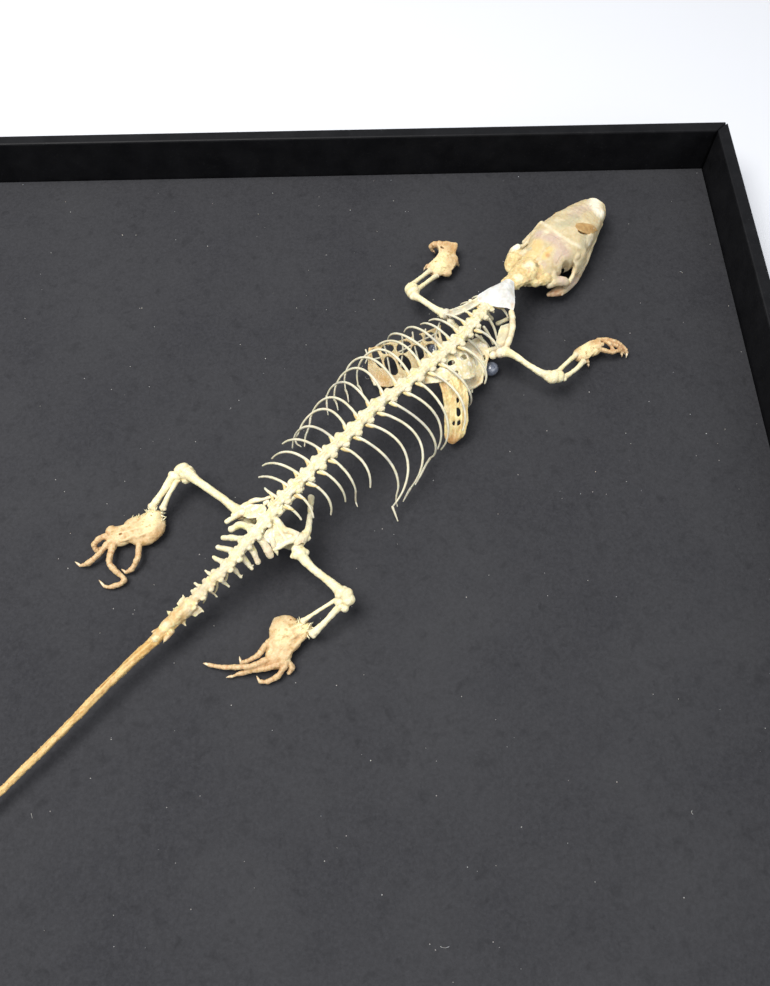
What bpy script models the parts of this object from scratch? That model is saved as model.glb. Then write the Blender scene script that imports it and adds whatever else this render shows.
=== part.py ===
import bmesh
import bpy
import math
from mathutils import Matrix, Vector

# A small lizard skeleton, back up, mounted in a square black tray frame.
# Places are in millimetres in the frame's own axes, from the middle of its underside:
# +X right, +Y to the far rail and +Z up. Heights of bones are taken from the board's top.
MM = 0.001
GAP = 0.3

# The tray frame and its board
OPENING = 203.0
RAIL_WIDTH = 2.7
BOARD_THICKNESS = 3.0
WALL_ABOVE_BOARD = 10.5
RAIL_BEVEL = 0.35

# The skull: its place on the board, heading and profile
SKULL_REAR = (56.9, 64.7)
SKULL_HEADING = 51.2
SKULL_RING = 14
# Distance from the rear, half width, top and bottom
SKULL_STATIONS = (
    (0.0, 2.6, 7.4, 4.6),
    (1.8, 5.2, 8.6, 4.2),
    (4.6, 7.2, 9.4, 3.7),
    (8.4, 7.0, 9.9, 3.6),
    (12.4, 6.2, 9.7, 3.5),
    (15.6, 5.3, 9.1, 3.5),
    (19.0, 4.5, 8.2, 3.5),
    (22.8, 3.6, 7.2, 3.5),
    (26.2, 2.8, 6.2, 3.5),
    (28.6, 1.2, 5.0, 3.6),
)
ORBIT_AT = (16.0, 4.6, 6.9)
ORBIT_SIZE = (3.3, 2.3, 2.3)
TEMPLE_AT = (5.4, 4.7, 9.6)
TEMPLE_SIZE = (2.3, 1.1, 2.6)
NOSTRIL_AT = (25.6, 1.5, 5.3)
NOSTRIL_SIZE = 0.55
JAW_ROUTE = ((1.2, 4.9, 2.5), (4.2, 6.5, 2.3), (9.0, 6.1, 1.8), (16.0, 4.8, 1.6), (22.0, 3.1, 1.5),
             (26.6, 1.15, 1.5))
JAW_RADII = (0.7, 1.15, 1.1, 1.05, 0.9, 0.75)

# The backbone from the hips to the back of the skull, through the centres of the vertebrae
SPINE_ROUTE = ((8.8, 13.2, 11.4), (12.7, 17.3, 11.6), (16.7, 22.0, 11.7), (21.3, 26.7, 11.7),
               (25.5, 31.6, 11.6), (30.6, 36.2, 11.3), (35.3, 40.7, 10.9), (40.8, 46.3, 10.4),
               (44.4, 50.8, 9.9), (47.5, 55.4, 9.2), (50.2, 58.9, 8.6), (52.9, 61.7, 7.8), (55.7, 64.1, 6.8))
# Distance along the backbone and the pitch of the vertebrae there
SPINE_PITCH = ((0.0, 2.85), (9.0, 3.05), (20.0, 3.25), (30.0, 3.45), (37.0, 3.1), (43.0, 2.65), (54.0, 2.8),
               (60.0, 2.3), (75.0, 2.3))
TRUNK_COUNT = 21
VERTEBRA_HALF_WIDTH = 1.5
VERTEBRA_HALF_HEIGHT = 1.4
VERTEBRA_OVERLAP = 1.28
NECK_VERTEBRA = (1.15, 1.5, 1.0)
NECK_CORE_RADIUS = 0.8
NECK_SPUR = (2.2, 0.8, 0.8)
NECK_SPUR_RADII = (0.6, 0.32)

# Ribs by number from the hips: reach to the side, drop, sweep back, bow ahead and last angle
RIB_PROFILE = {
    "left": (
        (0, 5.2, 3.1, -1.0, -0.3, 57.0),
        (1, 9.0, 6.5, 3.6, -0.2, 53.0),
        (2, 10.5, 8.1, 3.0, 0.0, 63.0),
        (3, 10.4, 8.9, 3.3, 0.5, 68.0),
        (4, 10.4, 7.2, 3.7, 0.2, 67.0),
        (5, 10.5, 8.4, 2.6, 0.3, 102.0),
        (6, 10.9, 6.6, 2.8, 1.9, 101.0),
        (7, 11.6, 7.2, 1.6, 1.9, 96.0),
        (8, 12.2, 7.4, 0.6, 1.8, 92.0),
        (9, 12.9, 9.4, 1.5, 2.0, 115.0),
        (10, 13.7, 8.4, 1.5, 1.7, 120.0),
        (11, 13.0, 10.0, 1.7, 1.9, 122.0),
        (12, 14.0, 9.0, 1.9, 2.1, 96.0),
        (13, 13.8, 8.5, -0.9, 0.6, 98.0),
        (14, 11.9, 6.4, -0.9, 1.0, 84.0),
        (15, 10.7, 7.0, -1.4, 1.0, 66.0),
        (17, 8.5, 5.5, -0.5, 0.5, 70.0),
        (20, 5.0, 4.0, 0.5, 0.2, 60.0),
    ),
    "right": (
        (0, 5.0, 3.3, 0.0, 0.3, 59.0),
        (1, 7.0, 5.8, 3.4, 0.5, 50.0),
        (2, 6.5, 4.8, 0.7, 0.6, 90.0),
        (3, 6.9, 5.2, 0.5, 0.4, 84.0),
        (4, 7.9, 5.2, 1.1, 0.2, 86.0),
        (5, 9.0, 6.7, 2.4, 1.2, 70.0),
        (6, 12.0, 7.7, 1.3, 1.3, 88.0),
        (7, 12.6, 7.1, 5.4, 2.1, 101.0),
        (8, 13.0, 7.6, 3.4, 2.6, 97.0),
        (9, 11.7, 6.7, -1.3, 1.5, 110.0),
        (10, 10.9, 8.2, 0.9, 1.8, 88.0),
        (11, 11.2, 7.4, 2.8, 0.6, 101.0),
        (12, 12.6, 6.0, 4.2, 1.4, 78.0),
        (13, 8.9, 5.7, -0.4, 0.5, 108.0),
        (15, 8.3, 4.8, 0.8, 0.8, 90.0),
        (17, 7.0, 4.0, 0.6, 0.4, 80.0),
        (20, 4.6, 3.6, 0.5, 0.2, 60.0),
    ),
}
SIDES = {"left": 1, "right": -1}
RIB_ROOT = 0.9
RIB_ROOT_BELOW = 0.3
RIB_KNOTS = 7
RIB_RADIUS = 0.4
RIB_TIP_RADIUS = 0.28
RIB_LOWEST = 1.0

# Dried cartilage between some ribs, by number from the hips, and how far it lies inside them
COSTAL_RIBS = {"left": (11, 12, 13, 14), "right": (11, 12, 13, 14)}
COSTAL_INSET = 0.95
COSTAL_KNOTS = 5
COSTAL_FROM = 0.4
COSTAL_THICKNESS = 0.5

# The hips and the tail
SACRUM_ROUTE = ((7.0, 11.3, 11.2), (4.9, 9.2, 10.8))
SACRUM_CORE_RADIUS = 0.9
SACRAL_BODY = (1.4, 1.5, 1.4)
SACRAL_WING = (4.8, 1.2, 1.9)
SACRAL_WING_RADIUS = 0.75
HIP_BODY = (1.5, 1.3, 1.4)
TAIL_BASE_ROUTE = ((4.0, 7.6, 10.2), (0.5, 3.7, 9.4), (-3.2, -0.7, 8.2), (-6.6, -4.5, 7.0))
CAUDAL_COUNT = 7
CAUDAL_PITCH = 1.95
CAUDAL_PITCH_GAIN = 0.05
CAUDAL_SPAN = (4.6, 2.1)
CAUDAL_SWEEP = 1.3
CAUDAL_DROP = 0.6
CAUDAL_SPUR_RADII = (0.75, 0.35)
CAUDAL_BODY = (1.15, 1.3, 1.25)
TAIL_CORE_RADIUS = 1.0
TAIL_STUMP = ((-6.5, -5.0, 6.4), (1.8, 2.2, 1.3))
TAIL_ROD_ROUTE = ((-7.6, -6.3, 5.9), (-13.9, -10.8, 4.8), (-20.0, -17.0, 4.3), (-26.1, -23.8, 3.8),
                  (-34.9, -33.0, 3.2), (-50.0, -48.8, 2.4), (-67.0, -66.2, 1.5), (-84.0, -83.0, 0.85))
TAIL_ROD_RADII = (1.75, 1.1, 0.85, 0.72, 0.64, 0.56, 0.48, 0.3)
TAIL_LENGTHS = 3
TAIL_ROD_STEP = 3.0

# Hip bones: socket, rear end of the ilium and the front end of the pubis for each side
HIP_SOCKET = {"left": (1.4, 12.7, 7.7), "right": (11.6, 6.3, 7.7)}
ILIUM_END = {"left": (-1.2, 10.6, 8.5), "right": (7.3, 5.8, 8.6)}
PUBIS_BEND = {"left": (2.9, 15.6, 5.6), "right": (13.1, 9.2, 5.6)}
PUBIS_END = {"left": (11.8, 19.6, 3.2), "right": (12.9, 18.1, 3.2)}
ISCHIUM_END = {"left": (4.6, 10.6, 3.4), "right": (6.9, 8.6, 3.4)}

# Limb bones: both ends of each
FEMUR = {"left": ((0.1, 13.8, 7.6), (-9.7, 21.9, 6.2)), "right": ((12.3, 4.5, 7.6), (20.5, -2.7, 6.2))}
TIBIA = {"left": ((-11.3, 21.6, 5.4), (-15.9, 15.9, 2.5)), "right": ((19.3, -3.9, 5.4), (13.8, -7.8, 2.5))}
FIBULA = {"left": ((-10.2, 20.4, 5.0), (-13.9, 15.4, 2.3)), "right": ((18.3, -2.3, 5.0), (12.2, -5.7, 2.3))}
HUMERUS = {"left": ((39.0, 55.7, 7.4), (32.2, 62.4, 5.8)), "right": ((51.2, 45.6, 7.4), (60.1, 40.8, 5.8))}
RADIUS = {"left": ((32.3, 63.3, 5.4), (37.2, 69.9, 2.8)), "right": ((61.3, 41.2, 5.4), (67.0, 45.9, 3.2))}
ULNA = {"left": ((33.6, 62.6, 5.2), (38.8, 69.0, 2.6)), "right": ((60.2, 42.3, 5.2), (65.6, 47.1, 3.0))}
# Radii of each limb bone: shaft, near knob and far knob
LIMB_RADII = {
    "femur": (0.75, 1.25, 1.55),
    "tibia": (0.55, 1.05, 0.8),
    "fibula": (0.35, 0.5, 0.5),
    "humerus": (0.65, 1.2, 1.3),
    "radius": (0.4, 0.65, 0.55),
    "ulna": (0.4, 0.65, 0.55),
}

# Feet and hands: palm as centre, half sizes and heading, then each toe's route
PALM = {
    "foot_left": ((-18.6, 12.2, 1.7), (5.4, 2.7, 1.1), 188.0),
    "foot_right": ((9.2, -9.5, 1.7), (4.7, 3.1, 1.1), 245.0),
    "hand_left": ((39.6, 74.6, 1.8), (4.2, 3.2, 1.2), 75.0),
    "hand_right": ((69.8, 49.9, 1.8), (3.8, 2.7, 1.2), 42.0),
}
WRIST = {
    "foot_left": ((-15.2, 13.6, 1.9), (2.1, 1.7, 1.2), 60.0),
    "foot_right": ((9.3, -6.5, 1.9), (3.3, 2.2, 1.2), -20.0),
    "hand_left": ((38.6, 71.1, 2.0), (1.9, 1.9, 1.1), 60.0),
    "hand_right": ((68.2, 48.4, 2.3), (2.4, 2.3, 1.1), 42.0),
}
TOES = {
    "foot_left": (
        ((-21.5, 12.6, 1.6), (-24.6, 12.2, 1.6), (-26.6, 10.2, 1.2), (-25.6, 8.6, 0.9)),
        ((-21.2, 11.2, 1.6), (-25.0, 8.4, 1.5), (-27.0, 6.0, 1.2), (-29.3, 6.3, 0.9)),
        ((-20.4, 10.6, 1.6), (-22.9, 7.2, 1.5), (-20.6, 3.6, 1.2), (-22.6, 1.7, 1.0), (-24.5, 2.9, 0.9)),
        ((-17.2, 11.4, 1.6), (-17.8, 7.4, 1.5), (-19.0, 4.8, 1.0), (-20.6, 5.2, 0.9)),
    ),
    "foot_right": (
        ((7.6, -8.6, 1.6), (4.0, -10.6, 1.5), (1.8, -12.4, 1.2), (0.9, -11.0, 0.9)),
        ((7.4, -11.0, 1.6), (4.0, -12.6, 1.5), (0.0, -13.0, 1.2), (-4.7, -12.7, 0.9)),
        ((8.0, -12.0, 1.6), (4.4, -14.3, 1.4), (-0.4, -15.1, 0.9)),
        ((8.8, -12.6, 1.6), (7.6, -15.4, 1.4), (6.2, -16.3, 1.0), (4.6, -15.4, 0.9)),
    ),
    "hand_left": (
        ((37.6, 73.0, 1.8), (35.4, 75.4, 1.6), (34.8, 77.2, 1.0)),
        ((38.6, 74.8, 1.8), (37.2, 77.6, 1.8), (37.4, 79.4, 1.2), (39.0, 79.2, 0.9)),
        ((40.0, 75.0, 1.8), (40.0, 78.2, 1.8), (40.8, 80.0, 1.2), (42.0, 79.0, 0.9)),
        ((41.0, 74.6, 1.8), (42.8, 77.2, 1.7), (43.8, 79.0, 1.2), (45.0, 78.2, 0.9)),
        ((40.6, 73.4, 1.8), (43.8, 73.6, 1.5), (45.6, 74.8, 0.9)),
    ),
    "hand_right": (
        ((68.8, 48.0, 1.8), (68.8, 46.0, 1.4), (69.6, 44.6, 0.9)),
        ((71.0, 48.8, 1.8), (73.6, 48.0, 1.6), (74.6, 46.6, 0.9)),
        ((71.4, 49.8, 1.8), (74.8, 49.6, 1.6), (76.9, 48.2, 0.9)),
        ((71.2, 50.6, 1.8), (74.4, 51.6, 1.7), (76.9, 50.4, 0.9)),
        ((70.4, 51.0, 1.8), (72.6, 53.0, 1.6), (74.8, 53.4, 0.9)),
    ),
}
TOE_RADIUS = 0.62
TOE_TIP_RADIUS = 0.28

# Shoulder girdle, breastbone and dried cartilage
SHOULDER_SOCKET = {"left": (40.3, 54.4, 7.4), "right": (49.8, 46.8, 7.4)}
SCAPULA = {"left": ((42.1, 55.1, 8.7), 35.0), "right": ((50.6, 49.9, 8.9), 72.0)}
SCAPULA_SIZE = (2.6, 1.3, 0.5)
CLAVICLE_TOP = {"left": (44.6, 57.4, 8.9), "right": (52.9, 53.6, 8.4)}
CLAVICLE_END = {"left": (49.2, 56.6, 4.2), "right": (50.4, 55.4, 4.2)}
CORACOID_END = {"left": (43.4, 51.6, 4.4), "right": (47.9, 48.4, 4.4)}
STERNUM_AT = (45.0, 47.2, 3.7)
STERNUM_SIZE = (6.4, 3.3, 0.5)
STERNUM_HEADING = 62.0
NAPE_ROWS = (
    ((51.6, 62.0, 9.3), (52.6, 61.4, 10.1), (53.8, 60.4, 9.3)),
    ((48.6, 60.1, 9.2), (50.8, 58.9, 11.0), (53.4, 57.4, 9.2)),
    ((45.2, 58.1, 8.6), (48.6, 56.3, 11.5), (53.1, 54.9, 8.6)),
)
NAPE_THICKNESS = 0.5
SHOULDER_BODY = (1.3, 1.2, 1.3)
BEAD_RADIUS = 1.3
BEADS = {"bead_chest_right": (48.3, 45.6), "bead_chest_left": (37.6, 50.9), "bead_hips": (5.7, 9.6)}

WORKSHOP = bpy.data.collections.new("pieces")
CUTTERS = bpy.data.collections.new("cutters")
SKELETON = bpy.data.collections.new("framed_skink_skeleton")


def clear_scene():
    for obj in list(bpy.data.objects):
        bpy.data.objects.remove(obj, do_unlink=True)
    for group in (SKELETON, WORKSHOP, CUTTERS):
        bpy.context.scene.collection.children.link(group)


def make_material(name, color, roughness, metallic=0.0):
    material = bpy.data.materials.new(name)
    material.use_nodes = True
    shader = material.node_tree.nodes["Principled BSDF"]
    shader.inputs["Base Color"].default_value = (*color, 1.0)
    shader.inputs["Roughness"].default_value = roughness
    shader.inputs["Metallic"].default_value = metallic
    return material


def over_board(point):
    """A place over the board, in metres."""
    x, y, height = point
    return Vector((x, y, height + BOARD_THICKNESS)) * MM


def add_mesh(name, mesh, group=WORKSHOP):
    obj = bpy.data.objects.new(name, mesh)
    group.objects.link(obj)
    return obj


def tube(route, radii, sides=6):
    """A tapered rod along a route of places over the board."""
    curve = bpy.data.curves.new("tube", "CURVE")
    curve.dimensions = "3D"
    curve.bevel_depth = MM
    curve.bevel_resolution = sides // 2 - 2
    curve.use_fill_caps = True
    spline = curve.splines.new("POLY")
    spline.points.add(len(route) - 1)
    for knot, place, radius in zip(spline.points, route, radii):
        knot.co = (*over_board(place), 1.0)
        knot.radius = radius
    source = add_mesh("tube", curve)
    bpy.context.view_layer.update()
    evaluated = source.evaluated_get(bpy.context.evaluated_depsgraph_get())
    mesh = bpy.data.meshes.new_from_object(evaluated)
    work = bmesh.new()
    work.from_mesh(mesh)
    bmesh.ops.remove_doubles(work, verts=work.verts, dist=0.00001)
    bmesh.ops.recalc_face_normals(work, faces=work.faces)
    work.to_mesh(mesh)
    work.free()
    rod = add_mesh("rod", mesh)
    rod.matrix_world = source.matrix_world
    bpy.data.objects.remove(source)
    return rod


def ball(center, size, heading=0.0, segments=8, rings=6, group=WORKSHOP):
    """An ellipsoid: half sizes along its heading, across it and up."""
    mesh = bpy.data.meshes.new("ball")
    work = bmesh.new()
    bmesh.ops.create_uvsphere(work, u_segments=segments, v_segments=rings, radius=1.0)
    turn = Matrix.Rotation(math.radians(heading), 4, "Z")
    shape = Matrix.Diagonal((*(Vector(size) * MM), 1.0))
    bmesh.ops.transform(work, matrix=Matrix.Translation(over_board(center)) @ turn @ shape, verts=work.verts)
    work.to_mesh(mesh)
    work.free()
    return add_mesh("ball", mesh, group)


def keep_largest(mesh):
    """Leave only the largest closed surface of a fused mesh."""
    work = bmesh.new()
    work.from_mesh(mesh)
    bmesh.ops.triangulate(work, faces=work.faces)
    seen = set()
    islands = []
    for start in work.verts:
        if start.index in seen:
            continue
        island = []
        stack = [start]
        seen.add(start.index)
        while stack:
            vert = stack.pop()
            island.append(vert)
            for edge in vert.link_edges:
                other = edge.other_vert(vert)
                if other.index not in seen:
                    seen.add(other.index)
                    stack.append(other)
        islands.append(island)
    if len(islands) > 1:
        print("dropped surfaces:", mesh.name, sorted(len(island) for island in islands)[:-1])
    largest = max(islands, key=len)
    loose = [vert for island in islands if island is not largest for vert in island]
    bmesh.ops.delete(work, geom=loose, context="VERTS")
    work.to_mesh(mesh)
    work.free()


def bake(obj, name):
    """Replace an object's mesh by its evaluated one, without its modifiers."""
    bpy.context.view_layer.update()
    evaluated = obj.evaluated_get(bpy.context.evaluated_depsgraph_get())
    mesh = bpy.data.meshes.new_from_object(evaluated)
    obj.modifiers.clear()
    obj.data = mesh
    mesh.name = name
    keep_largest(mesh)


def sheet(rows, thickness):
    """A thin curved plate through rows of places, closed all round."""
    work = bmesh.new()
    grid = [[work.verts.new(over_board(place)) for place in row] for row in rows]
    for row, following in zip(grid, grid[1:]):
        for index in range(len(row) - 1):
            work.faces.new((row[index], row[index + 1], following[index + 1], following[index]))
    mesh = bpy.data.meshes.new("sheet")
    work.to_mesh(mesh)
    work.free()
    obj = add_mesh("sheet", mesh)
    solid = obj.modifiers.new("thickness", "SOLIDIFY")
    solid.thickness = thickness * MM
    solid.offset = 0.0
    bake(obj, "sheet")
    return obj


def fuse(name, pieces, material, cuts=(), smooth=40.0):
    """Join pieces into one closed body named for its sub-part, then cut its openings."""
    base = pieces[0]
    WORKSHOP.objects.unlink(base)
    SKELETON.objects.link(base)
    base.name = name
    if len(pieces) > 1:
        union = base.modifiers.new("union", "BOOLEAN")
        union.operand_type = "COLLECTION"
        union.collection = WORKSHOP
        union.operation = "UNION"
        union.solver = "EXACT"
    for index, cutter in enumerate(cuts):
        cutter.hide_render = True
        cutter.display_type = "WIRE"
        cut = base.modifiers.new(f"cut_{index}", "BOOLEAN")
        cut.object = cutter
        cut.operation = "DIFFERENCE"
        cut.solver = "EXACT"
    bake(base, name)
    for obj in list(WORKSHOP.objects) + list(CUTTERS.objects):
        bpy.data.objects.remove(obj, do_unlink=True)
    base.data.materials.clear()
    base.data.materials.append(material)
    base.data.shade_smooth()
    base.data.set_sharp_from_angle(angle=math.radians(smooth))
    return base


def clear_of(obj, *neighbours, gap=GAP):
    """Cut an object back from its neighbours, which keep their shape."""
    for neighbour in neighbours:
        mesh = neighbour.data.copy()
        work = bmesh.new()
        work.from_mesh(mesh)
        work.normal_update()
        for vert in work.verts:
            vert.co += vert.normal * (gap * MM * vert.calc_shell_factor())
        work.to_mesh(mesh)
        work.free()
        cutter = add_mesh("swollen", mesh, CUTTERS)
        cut = obj.modifiers.new("clear", "BOOLEAN")
        cut.object = cutter
        cut.operation = "DIFFERENCE"
        cut.solver = "EXACT"
        cut.use_self = True
        bake(obj, obj.name)
        bpy.data.objects.remove(cutter, do_unlink=True)


def smooth_route(points, step):
    """Places and directions along a smooth curve through the points, each a step on."""
    knots = [Vector(point) for point in points]
    knots = [2 * knots[0] - knots[1]] + knots + [2 * knots[-1] - knots[-2]]
    fine = []
    for before, start, end, after in zip(knots, knots[1:], knots[2:], knots[3:]):
        for part in range(24):
            t = part / 24
            fine.append(0.5 * (2 * start + (end - before) * t + (2 * before - 5 * start + 4 * end - after) * t * t
                               + (3 * start - before - 3 * end + after) * t ** 3))
    fine.append(knots[-2])
    places = []
    travelled = 0.0
    due = 0.0
    for start, end in zip(fine, fine[1:]):
        length = (end - start).length
        while due <= travelled + length:
            places.append((start.lerp(end, (due - travelled) / length), (end - start).normalized()))
            due += step(due)
        travelled += length
    return places


def blend(profile, at):
    """Values of a profile at a place along it, by straight lines between its rows."""
    for low, high in zip(profile, profile[1:]):
        if at <= high[0]:
            share = (at - low[0]) / (high[0] - low[0])
            return [a + (b - a) * share for a, b in zip(low[1:], high[1:])]
    return list(profile[-1][1:])


def left_of(direction):
    return Vector((-direction.y, direction.x, 0.0)).normalized()


# The frame and board
def build_frame(black, charcoal):
    inner = OPENING / 2
    outer = inner + RAIL_WIDTH
    height = BOARD_THICKNESS + WALL_ABOVE_BOARD
    for name, turn in (("rail_right", 0), ("rail_far", 90), ("rail_left", 180), ("rail_near", 270)):
        work = bmesh.new()
        slack = GAP / 2
        corners = ((inner, -inner + slack), (outer, -outer + slack), (outer, outer - slack), (inner, inner - slack))
        verts = [work.verts.new(Vector((x, y, 0.0)) * MM) for x, y in corners]
        face = work.faces.new(verts)
        grown = bmesh.ops.extrude_face_region(work, geom=[face])
        lifted = [item for item in grown["geom"] if isinstance(item, bmesh.types.BMVert)]
        bmesh.ops.translate(work, vec=(0, 0, height * MM), verts=lifted)
        bmesh.ops.recalc_face_normals(work, faces=work.faces)
        bmesh.ops.rotate(work, cent=(0, 0, 0), matrix=Matrix.Rotation(math.radians(turn), 3, "Z"), verts=work.verts)
        mesh = bpy.data.meshes.new(name)
        work.to_mesh(mesh)
        work.free()
        rail = add_mesh(name, mesh, SKELETON)
        mesh.materials.append(black)
        bevel = rail.modifiers.new("round", "BEVEL")
        bevel.width = RAIL_BEVEL * MM
        bevel.segments = 2
        bevel.limit_method = "ANGLE"
    side = (OPENING - 2 * GAP) * MM
    bpy.ops.mesh.primitive_cube_add(size=1.0, location=(0, 0, BOARD_THICKNESS / 2 * MM))
    board = bpy.context.object
    board.name = "backing_board"
    board.scale = (side, side, BOARD_THICKNESS * MM)
    for group in list(board.users_collection):
        group.objects.unlink(board)
    SKELETON.objects.link(board)
    board.data.materials.append(charcoal)


def build_beads(glass):
    for name, (x, y) in BEADS.items():
        bead = ball((x, y, BEAD_RADIUS + GAP), (BEAD_RADIUS,) * 3, segments=10, rings=6)
        fuse(name, [bead], glass)


# The skull and jaws
def skull_point(forward, side, height):
    """A place beside the skull's midline, measured from its rear."""
    turn = math.radians(SKULL_HEADING)
    x = SKULL_REAR[0] + forward * math.cos(turn) - side * math.sin(turn)
    y = SKULL_REAR[1] + forward * math.sin(turn) + side * math.cos(turn)
    return (x, y, height)


def build_skull(bone):
    work = bmesh.new()
    rings = []
    for forward, half_width, top, bottom in SKULL_STATIONS:
        ring = []
        for index in range(SKULL_RING):
            turn = 2 * math.pi * index / SKULL_RING
            across = math.copysign(abs(math.cos(turn)) ** 0.75, math.cos(turn))
            upward = math.copysign(abs(math.sin(turn)) ** 0.75, math.sin(turn))
            height = bottom + (top - bottom) * (0.36 + (0.64 if upward > 0 else 0.36) * upward)
            ring.append(work.verts.new(over_board(skull_point(forward, half_width * across, height))))
        rings.append(ring)
    for ring, following in zip(rings, rings[1:]):
        for index in range(SKULL_RING):
            after = (index + 1) % SKULL_RING
            work.faces.new((ring[index], ring[after], following[after], following[index]))
    work.faces.new(rings[0])
    work.faces.new(rings[-1])
    bmesh.ops.recalc_face_normals(work, faces=work.faces)
    mesh = bpy.data.meshes.new("skull")
    work.to_mesh(mesh)
    work.free()
    cuts = []
    for side in (-1, 1):
        for (forward, across, height), size in ((ORBIT_AT, ORBIT_SIZE), (TEMPLE_AT, TEMPLE_SIZE),
                                                (NOSTRIL_AT, (NOSTRIL_SIZE,) * 3)):
            place = skull_point(forward, side * across, height)
            cuts.append(ball(place, size, SKULL_HEADING, segments=12, rings=8, group=CUTTERS))
    skull = fuse("skull", [add_mesh("skull", mesh)], bone, cuts)
    for name, side in (("jaw_left", 1), ("jaw_right", -1)):
        route = [skull_point(forward, side * across, height) for forward, across, height in JAW_ROUTE]
        jaw = fuse(name, [tube(route, JAW_RADII, 8)], bone)
        clear_of(jaw, skull)
    return skull


# The backbone and ribs
def vertebrae():
    """Centres of the vertebrae with the direction to the head, from the hips forward."""
    return smooth_route(SPINE_ROUTE, lambda travelled: blend(SPINE_PITCH, travelled)[0])


def rib_route(place, headward, side, number, inset=0.0, first=0.0, count=RIB_KNOTS):
    """Places along a rib, or along an arc that lies inside it."""
    reach, drop, sweep, bow, last = blend(RIB_PROFILE[side], number)
    outward = left_of(headward) * SIDES[side]
    drop = min(drop, (place.z - RIB_LOWEST) / (1 - math.cos(math.radians(last))))
    route = []
    for index in range(count):
        turn = math.radians(last) * (first + (1 - first) * index / (count - 1))
        point = place + outward * (RIB_ROOT + (reach - inset - RIB_ROOT) * math.sin(turn))
        point += headward * (bow * math.sin(2 * turn) - sweep * (1 - math.cos(turn)))
        point.z = place.z - (drop - inset) * (1 - math.cos(turn)) - inset * 0.5
        route.append(point)
    return route


def heading_of(direction):
    return math.degrees(math.atan2(direction.y, direction.x))


def build_trunk(bone):
    bones = vertebrae()
    trunk = bones[:TRUNK_COUNT]
    for side, sign in SIDES.items():
        middle = GAP / 2 + VERTEBRA_HALF_WIDTH / 2
        pieces = []
        for index, (place, headward) in enumerate(trunk):
            following = bones[index + 1][0]
            half = (following - place).length / 2 * VERTEBRA_OVERLAP
            center = place + left_of(headward) * sign * middle
            pieces.append(ball(center, (half, VERTEBRA_HALF_WIDTH / 2, VERTEBRA_HALF_HEIGHT),
                               heading_of(headward), segments=6, rings=5))
            route = rib_route(place - Vector((0, 0, RIB_ROOT_BELOW)), headward, side, index)
            radii = [RIB_RADIUS + (RIB_TIP_RADIUS - RIB_RADIUS) * knot / (len(route) - 1)
                     for knot in range(len(route))]
            pieces.append(tube(route, radii))
        fuse(f"trunk_{side}", pieces, bone)


def build_neck(bone, neighbours):
    bones = vertebrae()[TRUNK_COUNT:]
    pieces = [tube([place for place, _ in bones], [NECK_CORE_RADIUS] * len(bones), 8)]
    aside, back, down = NECK_SPUR
    for place, headward in bones:
        pieces.append(ball(place, NECK_VERTEBRA, heading_of(headward), segments=6, rings=5))
        for sign in SIDES.values():
            tip = place + left_of(headward) * sign * aside - headward * back - Vector((0, 0, down))
            pieces.append(tube((place, tip), NECK_SPUR_RADII))
    neck = fuse("neck", pieces, bone)
    clear_of(neck, *neighbours)


def build_costal_plates(cartilage):
    bones = vertebrae()
    for side, ribs in COSTAL_RIBS.items():
        rows = []
        for number in ribs:
            place, headward = bones[number]
            rows.append(rib_route(place, headward, side, number, COSTAL_INSET, COSTAL_FROM, COSTAL_KNOTS))
        plate = fuse(f"costal_plate_{side}", [sheet(rows, COSTAL_THICKNESS)], cartilage)
        clear_of(plate, bpy.data.objects[f"trunk_{side}"])


def build_hips(bone):
    sacrum_route = [Vector(point) for point in SACRUM_ROUTE]
    tailward = (sacrum_route[1] - sacrum_route[0]).normalized()
    pieces = [tube(sacrum_route, [SACRUM_CORE_RADIUS] * 2, 8)]
    aside, back, down = SACRAL_WING
    for place in sacrum_route:
        pieces.append(ball(place, SACRAL_BODY, heading_of(tailward)))
        for sign in SIDES.values():
            wing = place + left_of(tailward) * sign * aside + tailward * back
            wing.z = place.z - down
            pieces.append(tube((place, wing), [SACRAL_WING_RADIUS] * 2))
    sacrum = fuse("sacrum", pieces, bone)
    clear_of(sacrum, bpy.data.objects["trunk_left"], bpy.data.objects["trunk_right"])
    for side in SIDES:
        socket = Vector(HIP_SOCKET[side])
        pieces = [
            ball(socket, HIP_BODY, 45.0),
            tube((socket, Vector(ILIUM_END[side])), (0.9, 0.55)),
            tube((socket, Vector(PUBIS_BEND[side]), Vector(PUBIS_END[side])), (0.8, 0.55, 0.4)),
            tube((socket, Vector(ISCHIUM_END[side])), (0.8, 0.6)),
        ]
        hip = fuse(f"hip_{side}", pieces, bone)
        clear_of(hip, sacrum)
    return sacrum


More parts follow.
